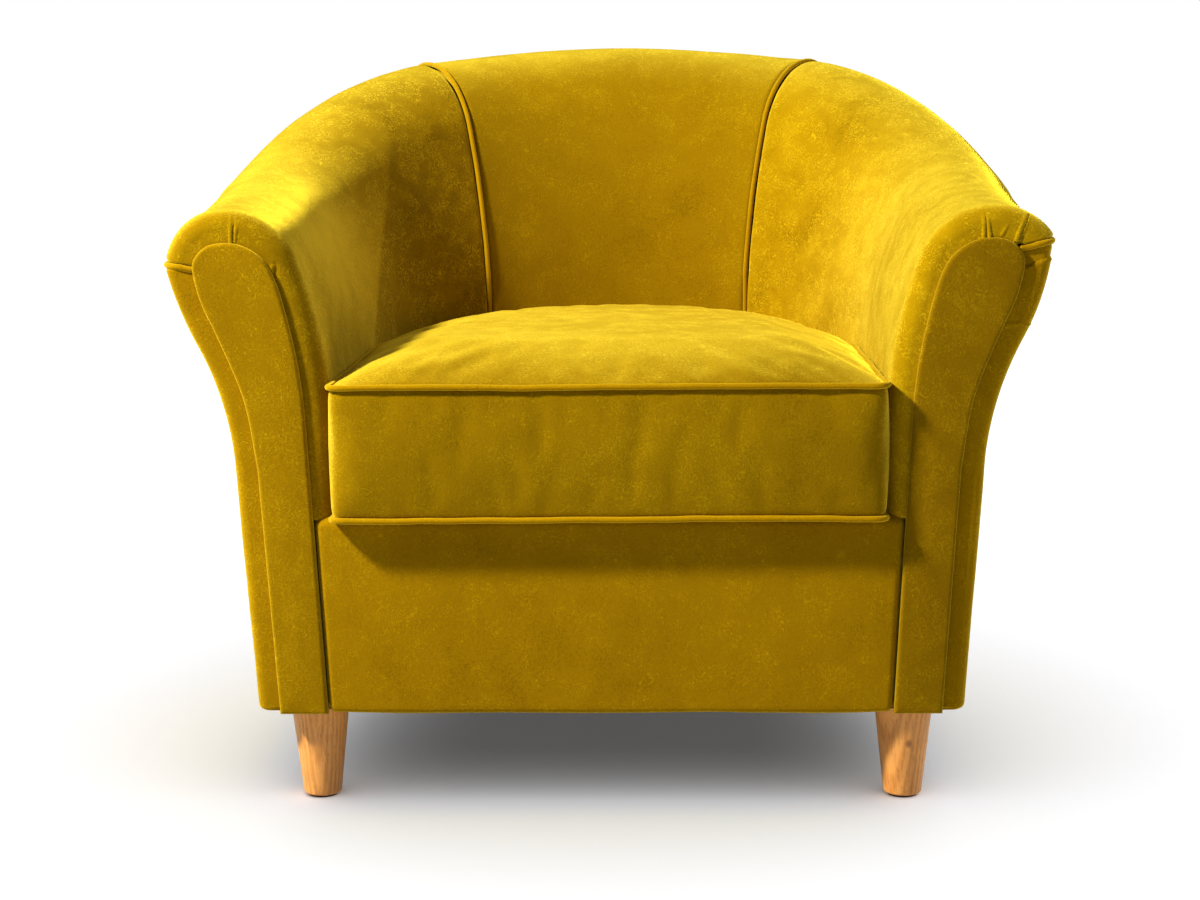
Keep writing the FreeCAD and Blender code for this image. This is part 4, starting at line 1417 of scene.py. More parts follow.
@dataclass
class OutsideCovers:
    """Outer skin of the arms and the back, up to the roll's seam."""

    tub: Tub
    finishes: Finishes
    seam_roll: float = 0.0034
    foot_roll: float = 0.0035
    tuck: float = 0.016
    band_depth: float = 0.034
    upright_length: float = 0.22
    upper_length: float = 0.11
    foot_places: tuple[float, ...] = (0.0, 0.004, 0.009, 0.016)
    seam_places: tuple[float, ...] = (0.945, 0.96, 0.975, 0.99, 1.0)
    flat_count: int = 11
    turn_count: int = 10
    run_count: int = 100
    waves: Pair = (0.0010, 0.13)
    ripples: Pair = (0.0003, 0.04)
    back_seed: int = 71
    fold_height: float = 0.0017
    fold_reach: float = 0.030
    fold_fade: float = 0.040
    hem_line: tuple[Pair, ...] = ((0.4105, 0.5443), (0.4349, 0.5536))
    split_line: tuple[Pair, ...] = ((0.4093, 0.5586), (0.4356, 0.5643))
    cross_seam: float = 0.4881
    hem_slope: float = 0.0014
    hem_groove: float = 0.0012
    split_width: float = 0.0011
    seam_width: float = 0.0010

    def rows(self) -> Array:
        """Places on the section, with the first and the last one twice.

        Returns:
            The places, 0 at the foot and 3 at the roll's seam.
        """
        places = [self.foot_places, np.linspace(0.03, 1.0, 50)[:-1], 1.0 + np.linspace(0.0, 1.0, 24)[:-1],
                  2.0 + np.linspace(0.0, 0.93, 90), 2.0 + np.array(self.seam_places)]
        return with_ends(np.concatenate(places))

    def edges(self, w: Array) -> Array:
        """Depth of the rounded lower and upper edges, and of the rows tucked in beyond them.

        Args:
            w: Place on the section.

        Returns:
            Depth into the wall.
        """
        foot = rolled(np.clip(w, 0.0, 1.0) * self.upright_length, self.foot_roll)
        top = rolled(np.clip(3.0 - w, 0.0, 1.0) * self.upper_length, self.seam_roll)
        tucked = np.zeros(len(w))
        tucked[0] = tucked[-1] = self.tuck
        return np.where(w < 1.0, foot, 0.0) + np.where(w > 2.0, top, 0.0) + tucked[:, None]

    def folds(self, grid: Array) -> Array:
        """Turned-over hem and two seams near the right arm's front.

        Args:
            grid: Points of the cover.

        Returns:
            Height of the surface at each point.
        """
        x, z = np.abs(grid[..., 0]), grid[..., 2]
        behind = np.maximum(grid[..., 1] + self.tub.back_shift - self.fold_reach, 0.0)
        above = z - straight(x, *self.hem_line)
        over = np.clip(above / self.hem_slope, -1.0, 1.0)
        step = 0.5 + 0.5 * over - 0.35 * np.exp(-(((above + self.hem_groove) / self.hem_groove) ** 2))
        split = -0.5 * np.exp(-(((z - straight(x, *self.split_line)) / self.split_width) ** 2))
        seam = -0.45 * np.exp(-(((z - self.cross_seam) / self.seam_width) ** 2))
        return self.fold_height * np.exp(-behind / self.fold_fade) * (step + split + seam)

    def surface(self, t1: Array, inset1: Array, seed: int, front: ArmFront | None = None) -> Array:
        """Grid of one cover over the given columns.

        Args:
            t1: Distance along the tub of each column.
            inset1: Depth into the wall of each column.
            seed: Number of the surface's unevenness.
            front: The arm's front, for an arm's cover.

        Returns:
            The grid.
        """
        t, w = np.meshgrid(t1, self.rows())
        base = inset1[None, :] + 0.0 * t
        lift = 0.0
        if front is not None:
            lift = front.shift(self.tub, t, base, np.clip(w - 2.0, 0.0, 1.0))
        grid = self.tub.outer(t, w, base + self.edges(w)) + lift
        normal = -grid_normals(self.tub.outer(t, w, base) + lift)
        height = uneven(grid, self.waves, self.ripples, seed)
        if front is not None and front.side is Side.RIGHT:
            height = height + self.folds(grid)
        return grid + normal * height[..., None]

    def arms(self) -> list[Piece]:
        """The two arm covers.

        Returns:
            The covers.
        """
        shares = 0.4 * eased(self.run_count) + 0.6 * np.linspace(0.0, 1.0, self.run_count)
        t, inset = arm_columns(self, self.tub.outer_edge, shares)
        pieces = []
        for front in FRONTS:
            grid = self.surface(t, inset, front.seed + 5, front)
            word = front.side.word
            piece = grid_piece("outside_arm_" + word, on_side(grid, front.side), front.side is Side.RIGHT)
            pieces.append(seated(piece, CHAIR, ["outside_arm_cover_" + word]))
        return pieces

    def back(self) -> Piece:
        """The back cover.

        Returns:
            The cover.
        """
        first = self.tub.seam + self.tub.seam_gap
        last = 2.0 * self.tub.middle - first
        run = np.linspace(first, last, self.run_count)
        edge = rolled(np.minimum(run - first, last - run), self.seam_roll)
        inset = np.concatenate([[self.tuck], edge, [self.tuck]])
        piece = grid_piece("outside_back", self.surface(with_ends(run), inset, self.back_seed), True)
        return seated(piece, CHAIR, ["outside_back_cover"])

    def build(self) -> list[Piece]:
        """All outside covers.

        Returns:
            The covers of both arms and of the back.
        """
        pieces = [*self.arms(), self.back()]
        for piece in pieces:
            dress(piece, self.finishes.panel)
            thicken(piece)
        return pieces


@dataclass
class Facings:
    """Padded facings on the arms' fronts."""

    tub: Tub
    finishes: Finishes
    inset: float = 0.023
    roll_inset: float = 0.030
    foot_inside: float = 0.009
    foot_outside: float = 0.022
    bottom: float = 0.096
    lean_top: float = 0.387
    depth: float = 0.0086
    edge: float = 0.0034
    crown: float = 0.0016
    crown_reach: float = 0.016
    waves: Pair = (0.0006, 0.05)
    calm_edge: float = 0.01
    turned_in: float = 0.006
    wide_shares: tuple[float, ...] = (0.25, 0.6, 1.0)
    tight_shares: tuple[float, ...] = (0.35, 0.7, 1.0)
    roll_shares: tuple[float, ...] = (0.34, 0.68, 1.0)
    outer_places: tuple[float, ...] = (2.5, 2.0, 1.5, 1.0)
    line_steps: int = 14
    apex_step: int = 5
    row_count: int = 150
    column_count: int = 44

    def outline(self) -> tuple[Array, Array]:
        """Inner and outer side of the outline.

        Returns:
            The two lines, each from the foot to the top, as x and z.
        """
        tub = self.tub
        face = np.array(tub.face)
        s = tub.section(face)
        points = [(self.inset, self.lean_top)]
        for share in self.wide_shares:
            turn = tub.flare_turn * share
            size = s["wide"] - self.inset
            points.append((s["wide"] - size * math.cos(turn), s["start"] + size * math.sin(turn)))
        for share in self.tight_shares:
            turn = tub.flare_turn + (QUARTER - tub.flare_turn) * share
            size = s["tight"] - (self.inset + (self.roll_inset - self.inset) * share)
            height = s["top"] - s["tight"] + size * math.sin(turn)
            points.append((s["out"] - size * math.cos(turn), height))
        top_index = len(points) - 1
        for share in self.roll_shares:
            turn = QUARTER + (tub.roll_end - QUARTER) * share
            size = tub.roll - self.roll_inset
            points.append((s["out"] - size * math.cos(turn), s["top"] - tub.roll + size * math.sin(turn)))
        for w in self.outer_places:
            spot = tub.outer(face, np.array(w), np.array(self.inset))
            points.append((spot[0] - tub.half_width, spot[2]))
        points = [(float(a), float(b)) for a, b in points]
        foot_out = tub.foot_width + (self.bottom - tub.underside) * math.tan(tub.lean) - self.foot_outside
        line = smooth_line(points, self.line_steps)
        apex = top_index * self.line_steps + self.apex_step
        inner = np.vstack([[(self.foot_inside, self.bottom)], line[: apex + 1]])
        outer = np.vstack([[(foot_out, self.bottom)], line[apex:][::-1]])
        return inner, outer

    def face_grid(self, front: ArmFront) -> Array:
        """Grid of the velvet's face, whose last row is drawn together in the outline's top.

        Args:
            front: The arm's front.

        Returns:
            The grid, on the right arm's side.
        """
        inner, outer = self.outline()
        whole = shut(np.vstack([inner, outer[::-1][1:]]))
        rows = eased(self.row_count)
        across = eased(self.column_count)[None, :, None]
        flat = follow(inner, rows)[:, None, :] * (1.0 - across) + follow(outer, rows)[:, None, :] * across
        gap = distance_to(flat.reshape(-1, 2), whole).reshape(flat.shape[:2])
        x = self.tub.half_width + flat[..., 0]
        y = rolled(gap, self.edge) - self.crown * (1.0 - np.exp(-gap / self.crown_reach))
        spots = np.stack([x, y - self.tub.back_shift, flat[..., 1]], axis=-1)
        uneven = self.waves[0] * soft_noise(spots, self.waves[1], front.seed + 7)
        spots[..., 1] -= uneven * np.clip(gap / self.calm_edge, 0.0, 1.0)
        return spots

    def mesh(self, grid: Array) -> tuple[Array, Faces]:
        """Face, side wall and turned-in back edge of a facing.

        Args:
            grid: Grid of its face.

        Returns:
            The points and the faces.
        """
        rows, columns = grid.shape[:2]
        apex = (rows - 1) * columns
        ring = [*range(columns - 1), *(r * columns + columns - 1 for r in range(rows - 1)), apex,
                *(r * columns for r in range(rows - 2, 0, -1))]
        points = grid.reshape(-1, 3)
        wall = points[ring]
        centre = wall.mean(axis=0)
        wall[:, 1] = self.depth - self.tub.back_shift
        turned = wall.copy()
        turned[:, 0] += self.turned_in * np.sign(centre[0] - wall[:, 0])
        faces = grid_faces(rows - 1, columns)
        top = apex - columns
        faces += [(top + c, top + c + 1, apex) for c in range(columns - 1)]
        count, first = len(ring), len(points)
        for k in range(count):
            n = (k + 1) % count
            faces.append((ring[k], first + k, first + n, ring[n]))
            faces.append((first + k, first + count + k, first + count + n, first + n))
        return np.vstack([points, wall, turned]), faces

    def build(self) -> list[Piece]:
        """Both facings.

        Returns:
            The facings.
        """
        pieces = []
        for front in FRONTS:
            points, faces = self.mesh(self.face_grid(front))
            word = front.side.word
            piece = make_piece("facing_" + word, on_side(points, front.side), faces, front.side is Side.LEFT)
            tidy_mesh(piece)
            dress(piece, self.finishes.facings[front.side])
            seated(piece, CHAIR, ["facing_cover_" + word])
            pieces.append(piece)
        return pieces


def smooth_line(points: Sequence[Pair], steps: int) -> Array:
    """Smooth line through points in a plane.

    Args:
        points: The points.
        steps: Number of points for each gap.

    Returns:
        The line's points.
    """
    p = np.array(points)
    p = np.vstack([2.0 * p[0] - p[1], p, 2.0 * p[-1] - p[-2]])
    out = []
    for k in range(1, len(p) - 2):
        knots = [0.0]
        for a, b in zip(p[k - 1:k + 2], p[k:k + 3]):
            knots.append(knots[-1] + math.sqrt(float(np.linalg.norm(b - a))))
        t0, t1, t2, t3 = knots
        for u in np.linspace(t1, t2, steps, endpoint=False):
            a1 = p[k - 1] * (t1 - u) / (t1 - t0) + p[k] * (u - t0) / (t1 - t0)
            a2 = p[k] * (t2 - u) / (t2 - t1) + p[k + 1] * (u - t1) / (t2 - t1)
            a3 = p[k + 1] * (t3 - u) / (t3 - t2) + p[k + 2] * (u - t2) / (t3 - t2)
            b1 = a1 * (t2 - u) / (t2 - t0) + a2 * (u - t0) / (t2 - t0)
            b2 = a2 * (t3 - u) / (t3 - t1) + a3 * (u - t1) / (t3 - t1)
            out.append(b1 * (t2 - u) / (t2 - t1) + b2 * (u - t1) / (t2 - t1))
    out.append(p[-2])
    return np.array(out)


def follow(line: Array, shares: Array) -> Array:
    """Points at shares of a line's length."""
    gone = np.concatenate([[0.0], np.cumsum(np.linalg.norm(np.diff(line, axis=0), axis=1))])
    return np.stack([np.interp(shares * gone[-1], gone, line[:, k]) for k in range(line.shape[1])], axis=1)


def distance_to(points: Array, line: Array) -> Array:
    """Distance of each point to a line of straight runs.

    Args:
        points: The points.
        line: Corners of the line.

    Returns:
        The distances.
    """
    best = np.full(len(points), 1e9)
    for a, b in zip(line, line[1:]):
        d = b - a
        size = float(d @ d)
        if size < 1e-14:
            continue
        u = np.clip(((points - a) @ d) / size, 0.0, 1.0)
        best = np.minimum(best, np.linalg.norm(points - a - u[:, None] * d, axis=1))
    return best


def tidy_mesh(piece: Piece) -> None:
    """Join corners that coincide and drop faces without area.

    Args:
        piece: The piece.
    """
    work = bmesh.new()
    work.from_mesh(piece.data)
    bmesh.ops.remove_doubles(work, verts=work.verts, dist=2e-6)
    bmesh.ops.dissolve_degenerate(work, edges=work.edges, dist=1e-6)
    loose = [v for v in work.verts if not v.link_faces]
    bmesh.ops.delete(work, geom=loose, context="VERTS")
    work.to_mesh(piece.data)
    work.free()
    piece.data.shade_smooth()


@dataclass
class FrontPanel:
    """Velvet over the front rail, between the facings, with a rolled top edge."""

    tub: Tub
    finishes: Finishes
    beside: Facings
    face: float = 0.005
    low: float = 0.0985
    under: float = 0.030
    round_top: float = 0.009
    round_low: float = 0.0035
    gap: float = 0.0025
    side_roll: float = 0.0040
    back: float = 0.075
    tucked: tuple[Pair, ...] = ((0.0004, 0.0065), (0.0012, 0.0085), (0.016, 0.0085))
    column_count: int = 121
    puff: float = 0.0010
    waves: Pair = (0.0009, 0.10)
    ripples: Pair = (0.0003, 0.035)
    seed: int = 61
    calm_edge: float = 0.02

    def profile(self) -> tuple[Array, Array]:
        """Profile of the panel, from below the rail over its face to the deck.

        Returns:
            Its points, as depth and height, and their outward direction.
        """
        spots, ways = [], []
        low, deck, face = self.low, self.tub.deck, self.face
        for y in np.linspace(self.under, face + self.round_low, 6)[:-1]:
            spots.append((y, low))
            ways.append((0.0, -1.0))
        for a in np.linspace(0.0, QUARTER, 6)[:-1]:
            across, up = 1.0 - math.sin(a), 1.0 - math.cos(a)
            spots.append((face + self.round_low * across, low + self.round_low * up))
            ways.append((-math.sin(a), -math.cos(a)))
        for z in np.linspace(low + self.round_low, deck - self.round_top, 48)[:-1]:
            spots.append((face, z))
            ways.append((-1.0, 0.0))
        for a in np.linspace(0.0, QUARTER, 10)[:-1]:
            across, down = 1.0 - math.cos(a), 1.0 - math.sin(a)
            spots.append((face + self.round_top * across, deck - self.round_top * down))
            ways.append((-math.cos(a), math.sin(a)))
        for y in np.linspace(face + self.round_top, self.back, 12):
            spots.append((y, deck))
            ways.append((0.0, 1.0))
        return np.array(spots), np.array(ways)

    def build(self) -> list[Piece]:
        """The panel.

        Returns:
            The panel, in a list.
        """
        spots, ways = self.profile()
        side = self.beside
        lean = (side.inset - side.foot_inside) / (side.lean_top - side.bottom)
        half = self.tub.half_width + side.foot_inside - self.gap + lean * (spots[:, 1] - side.bottom)
        count = self.column_count
        x = half[:, None] * (0.55 * np.linspace(-1.0, 1.0, count) + 0.45 * (2.0 * eased(count) - 1.0))
        sink = rolled(half[:, None] - np.abs(x), self.side_roll)
        right = [half + a for a, _ in self.tucked]
        depths = [np.full(len(half), d) for _, d in self.tucked]
        x = np.column_stack([*(-place for place in right[::-1]), x, *right])
        sink = np.column_stack([*depths[::-1], sink, *depths])
        y = spots[:, :1] - ways[:, :1] * sink
        z = spots[:, 1:] - ways[:, 1:] * sink
        grid = np.stack([x, y - self.tub.back_shift, z], axis=-1)
        out = np.column_stack([np.zeros(len(ways)), ways])[:, None, :]
        height = self.puff * np.clip(1.0 - (np.abs(x) / half[:, None]) ** 6, 0.0, 1.0)
        height = height + uneven(grid, self.waves, self.ripples, self.seed)
        height = height * np.clip((half[:, None] - np.abs(x)) / self.calm_edge, 0.0, 1.0)
        piece = grid_piece("front_panel", grid + out * height[..., None], True)
        cover(piece, self.finishes.panel, ["front_rail_cover", "front_rail_pad"])
        return [piece]


@dataclass(frozen=True)
class RoundBacked:
    """Plan with a straight front, small front corners and a half-round back."""

    half: float
    front: float
    corner: float
    bend: float
    step: float
    smallest_corner: float = 0.004

    def line(self, inset: float = 0.0) -> Array:
        """Evenly spaced points of the plan.

        Args:
            inset: Distance inside the plan.

        Returns:
            The points, from the middle of the front to the right and round.
        """
        h, f, c = self.half - inset, self.front + inset, max(self.corner - inset, self.smallest_corner)
        line = [(0.0, f), (h - c, f)]
        for a in np.linspace(-QUARTER, 0.0, 9)[1:]:
            line.append((h - c + c * math.cos(a), f + c + c * math.sin(a)))
        line.append((h, self.bend))
        for a in np.linspace(0.0, math.pi, 200)[1:]:
            line.append((h * math.cos(a), self.bend + h * math.sin(a)))
        line.append((-h, f + c))
        for a in np.linspace(math.pi, 1.5 * math.pi, 9)[1:]:
            line.append((-h + c + c * math.cos(a), f + c + c * math.sin(a)))
        line = np.array([*line, (0.0, f)])
        length = float(np.linalg.norm(np.diff(line, axis=0), axis=1).sum())
        count = int(round(length / self.step))
        return follow(line, np.linspace(0.0, 1.0, count, endpoint=False))


@dataclass
class Deck:
    """Seat deck under the loose cushion."""

    tub: Tub
    finishes: Finishes
    front: float = 0.070
    corner: float = 0.004
    under_wall: float = 0.022
    step: float = 0.012
    drop: float = 0.0006
    centre: Pair = (0.0, 0.30)
    ring_count: int = 26
    innermost: float = 0.98
    tuck: float = 0.012
    sag: Pair = (0.0012, 0.10)
    seed: int = 81
    thickness: float = 0.002

    def build(self) -> list[Piece]:
        """The deck.

        Returns:
            The deck, in a list.
        """
        reach = self.tub.half_width + self.under_wall
        line = RoundBacked(reach, self.front, self.corner, self.tub.bend, self.step).line()
        shares = np.concatenate([[0.0], eased(self.ring_count)[1:-1] * self.innermost])[:, None, None]
        flat = line * (1.0 - shares) + np.array(self.centre) * shares
        grid = np.dstack([flat, np.full(flat.shape[:2], self.tub.deck - self.drop)])
        tuck = grid[:1].copy()
        tuck[..., 2] -= self.tuck
        grid = np.vstack([tuck, grid])
        lift = self.sag[0] * soft_noise(grid, self.sag[1], self.seed) - self.sag[0]
        grid[1:, :, 2] += lift[1:]
        grid[..., 1] -= self.tub.back_shift
        rows, columns = grid.shape[:2]
        points = np.vstack([grid.reshape(-1, 3), grid[-1].mean(axis=0)[None]])
        faces = grid_faces(rows, columns, closed=True)
        last = (rows - 1) * columns
        faces += [(last + c, last + (c + 1) % columns, rows * columns) for c in range(columns)]
        piece = make_piece("seat_deck", points, faces)
        nodes = ["seat_deck_cover", "seat_deck_pad"]
        cover(piece, self.finishes.panel, nodes, self.thickness)
        return [piece]


# Pipings


@dataclass
class Pipings:
    """Velvet-covered cords in the tub's seams."""

    tub: Tub
    finishes: Finishes
    lift: float = 0.0018
    sunk: float = 0.0022
    foot: float = 0.2975
    step: float = 0.004
    wander: Pair = (0.0004, 0.03)
    uneven: Pair = (0.035, 0.012)
    proud: float = 0.0016
    proud_inset: float = 0.018
    proud_fade: float = 0.05
    face_gap: float = 0.0005
    behind_facing: float = 0.0330
    sag: float = 0.0008
    front_swell: float = 0.10
    swell_reach: float = 0.03
    swell_fade: float = 0.04

    def roll_path(self, front: ArmFront) -> Array:
        """Cord under the roll.

        Args:
            front: The arm's front.

        Returns:
            Its points, from the facing round the arm's front to the middle of the back.
        """
        tub = self.tub
        turn = tub.edge - tub.cord_sink
        face = tub.face + self.face_gap
        flat = np.linspace(self.behind_facing, turn, 14)[:-1]
        bend = np.linspace(0.0, QUARTER, 14)
        run = np.linspace(face + turn, tub.middle, 240)[1:]
        rounded = turn * (1.0 - np.sin(bend)) + tub.cord_sink * np.sin(bend)
        inset = np.concatenate([flat, rounded, np.full(len(run), tub.cord_sink)])
        t = np.concatenate([np.full(len(flat), face), face + turn * (1.0 - np.cos(bend)), run])
        s = tub.section(t)
        near = np.exp(-np.maximum(t - face - turn, 0.0) / self.proud_fade)
        proud = self.proud * near * np.clip(1.0 - inset / self.proud_inset, 0.0, 1.0)
        half_way = np.clip((self.behind_facing - inset) / (self.behind_facing / 2.0), 0.0, 1.0)
        sag = self.sag * np.sin(half_way * math.pi) * (t < face + turn)
        z = s["top"] - tub.roll + tub.seam_drop - tub.cord - tub.cord_play - sag
        path = tub.place(t, s["out"] + tub.seam_reach - inset + proud, z)
        path = path + front.shift(tub, t, inset, np.ones(len(t)))
        path[:, 1] -= self.proud * (inset > tub.cord_sink + 1e-6)
        return on_side(path, front.side)

    def back_path(self) -> Array:
        """Cord over the right back seam.

        Returns:
            Its points, from the deck to the roll's seam.
        """
        tub = self.tub
        t = np.array(tub.seam)
        s = tub.section(t)
        raised = s["wide"] + self.lift
        leave = math.acos(float((s["wide"] - self.sunk) / raised))
        turn = np.linspace(leave, tub.flare_turn, 60)
        upright = np.linspace(self.foot, float(s["start"] + raised * math.sin(leave)), 40, endpoint=False)
        out = np.concatenate([np.full(len(upright), self.sunk), s["wide"] - raised * np.cos(turn)])
        first = tub.place(t, out, np.concatenate([upright, s["start"] + raised * np.sin(turn)]))
        w = np.linspace(2.0, 4.0, 90)[1:]
        rest = tub.inner(t + 0.0 * w, w, np.full(len(w), -self.lift), self.foot)
        return resample(np.vstack([first, rest]), self.step)

    def outside_path(self) -> Array:
        """Cord down the outside of the right back seam, from the foot to the roll's seam."""
        w = np.linspace(0.0, 3.0, 160)
        return resample(self.tub.outer(self.tub.seam + 0.0 * w, w, 0.0 * w - self.lift), self.step)

    def cord(self, node: str, path: Array, seed: int) -> Piece:
        """One covered cord.

        Args:
            node: The node that it stands for.
            path: Points of its middle line.
            seed: Number of its unevenness.

        Returns:
            The cord.
        """
        path = wavy(path, *self.wander, seed)
        behind = np.maximum(path[:, 1] + self.tub.back_shift - self.swell_reach, 0.0)
        swell = self.front_swell * np.exp(-behind / self.swell_fade)
        uneven = self.uneven[0] * soft_noise(path, self.uneven[1], seed + 9)
        piece = tube(node + "_cord", path, self.tub.cord * (1.0 + uneven + swell))
        dress(piece, self.finishes.piping)
        return seated(piece, CHAIR, [node])

    def build(self) -> list[Piece]:
        """All cords of the tub.

        Returns:
            The cords.
        """
        left, right = (self.roll_path(f) for f in FRONTS)
        pieces = [self.cord("roll_piping", np.vstack([right, left[::-1][1:]]), 90)]
        for side in Side:
            for place, path, seed in (("back", self.back_path(), 95), ("outside", self.outside_path(), 105)):
                node = place + "_piping_" + side.word
                pieces.append(self.cord(node, on_side(path, side), seed + side.value))
        return pieces


# Seat cushion


@dataclass
class SeatCushion:
    """Loose cushion with a straight front, a round back, a crowned top and piped edges."""

    tub: Tub
    finishes: Finishes
    half: float = 0.275
    front: float = -0.019
    corner: float = 0.010
    low: float = 0.300
    high: float = 0.432
    crown: float = 0.032
    draw: float = 0.0022
    step: float = 0.0080
    sag: float = 0.0026
    shoulder: float = 0.26
    fullness: float = 7.5
    seam_inset: float = 0.0015
    seam_fade: float = 0.03
    bulge: float = 0.0028
    bulge_rise: float = 26.0
    boxing_rows: int = 18
    ring_depths: Pair = (0.0066, 0.0134)
    clear_of_rings: float = 0.0190
    waves: Pair = (0.0006, 0.05)
    ripples: Pair = (0.0003, 0.016)
    seed: int = 221
    puff_frames: int = 20
    puff_limit: float = 0.006
    above_deck: float = 0.0004
    zip_hold: float = 0.016
    cord_out: float = 0.0020
    cord_out_reach: float = 0.020
    cord_out_fade: float = 0.030
    cord_step: float = 0.0045
    cord_size: float = 0.0031
    cord_wander: Pair = (0.0003, 0.02)
    cord_uneven: Pair = (0.03, 0.012)
    zip_turn: float = 48.5
    zip_sink: float = 0.0006
    zip_cloth: float = 0.0008
    teeth_turn: float = 48.0
    tooth_pitch: float = 0.0024
    tooth_row: float = 0.001
    tooth_heights: Pair = (-0.0002, 0.0011)
    tooth_top: float = 0.8

    def line(self, inset: float) -> Array:
        """Plan of the cushion at an inset."""
        return RoundBacked(self.half, self.front, self.corner, self.tub.bend, self.step).line(inset)

    def panel(self, loop: Array) -> tuple[Array, Faces]:
        """Triangles that fill a loop in the plan.

        Args:
            loop: Plan of the seam.

        Returns:
            The points, of which the first are the loop's, and the faces.
        """
        count = len(loop)
        inside = []
        for depth in self.ring_depths:
            ring = loop - outward_of(loop) * depth
            inside += [tuple(p) for p, g in zip(ring, distance_to(ring, shut(loop))) if g > depth * 0.85]
        in_rings = len(inside)
        pitch = self.step
        for r, y in enumerate(np.arange(self.front, self.tub.bend + self.half, pitch * 0.87)):
            for x in np.arange(-self.half, self.half, pitch) + (pitch / 2.0 if r % 2 else 0.0):
                inside.append((x, y))
        spots = np.array(inside)
        clear = distance_to(spots, shut(loop)) > self.clear_of_rings
        clear[:in_rings] = True
        flat = np.vstack([loop, spots[inside_loop(spots, loop) & clear]])
        made = delaunay_2d_cdt([Vector(p) for p in flat], [], [list(range(count))], 1, 1e-7)
        verts = np.array([tuple(v) for v in made[0]])
        order = {old: new for new, olds in enumerate(made[3]) for old in olds if old < count}
        rank = [order[k] for k in range(count)]
        first = set(rank)
        rank += [k for k in range(len(verts)) if k not in first]
        place = {old: new for new, old in enumerate(rank)}
        return verts[rank], [tuple(place[i] for i in f) for f in made[2]]

    def dome(self, spots: Array) -> Array:
        """Share of the crown's height, rising from the front and from the curved side.

        Args:
            spots: Places in the plan.

        Returns:
            0 at the seam, 1 in the middle.
        """
        x, y = spots[:, 0], spots[:, 1]
        behind = np.hypot(x, np.maximum(y - self.tub.bend, 0.0))
        rises = []
        for gap in (y - self.front - self.seam_inset, self.half - self.seam_inset - behind):
            share = np.clip(gap / self.shoulder, 0.0, 1.0)
            rises.append(1.0 - (1.0 - share) ** self.fullness)
        return rises[0] * rises[1]

    def seam_height(self, loop: Array, level: float, amount: float, seed: int) -> Array:
        """Heights of a seam that wanders from its level by about the amount."""
        spots = np.column_stack([loop, np.full(len(loop), level)])
        return level + uneven(spots, (amount, 0.085), (0.35 * amount, 0.03), seed)

    def lid(self, loop: Array, level: float, seam: Array,
            rise: Callable[[Array], Array]) -> tuple[Array, Faces]:
        """Top or bottom panel, whose edge follows its seam.

        Args:
            loop: Plan of the seam.
            level: Mean height of the seam.
            seam: Height of each of its points.
            rise: Height above the seam at places in the plan.

        Returns:
            The points, of which the first are the loop's, and the faces.
        """
        flat, faces = self.panel(loop)
        fade = np.exp(-distance_to(flat, shut(loop)) / self.seam_fade)
        z = rise(flat) + level + (seam[nearest_index(flat, loop)] - level) * fade
        return np.column_stack([flat, z]), faces

    def shell(self) -> tuple[Array, Faces, Array, Array]:
        """Closed skin of the cushion before it is puffed up.

        Returns:
            The points, the faces, and the numbers of the upper and the lower seam's points.
        """
        loop = self.line(self.seam_inset)
        count = len(loop)

        def rise(spots: Array) -> Array:
            """Crown of the top panel."""
            return self.crown * self.dome(spots)

        def hang(spots: Array) -> Array:
            """Belly of the bottom panel, which rests on the deck."""
            return -self.sag * np.clip(self.dome(spots) * 6.0, 0.0, 1.0)

        high = self.seam_height(loop, self.high, 0.0011, 201)
        low = self.seam_height(loop, self.low, 0.0013, 211)
        top, faces = self.lid(loop, self.high, high, rise)
        bottom, bottom_faces = self.lid(loop, self.low, low, hang)
        boxing = []
        for share in np.linspace(0.0, 1.0, self.boxing_rows)[1:-1]:
            soft = 1.0 - math.exp(-min(share, 1.0 - share) * self.bulge_rise)
            bow = 4.0 * share * (1.0 - share)
            ring = match_count(self.line(self.seam_inset - self.bulge * soft + self.draw * bow), count)
            boxing.append(np.column_stack([ring, high + (low - high) * share]))
        points = np.vstack([top, *boxing, bottom])
        numbers = np.arange(count)
        levels = [numbers, *(len(top) + k * count + numbers for k in range(len(boxing)))]
        first_bottom = len(top) + len(boxing) * count
        levels.append(first_bottom + numbers)
        for upper, lower in zip(levels, levels[1:]):
            for c in range(count):
                n = (c + 1) % count
                faces.append((int(upper[c]), int(lower[c]), int(lower[n]), int(upper[n])))
        faces += [tuple(first_bottom + i for i in reversed(f)) for f in bottom_faces]
        points[:, 1] -= self.tub.back_shift
        return points, faces, levels[0], levels[-1]

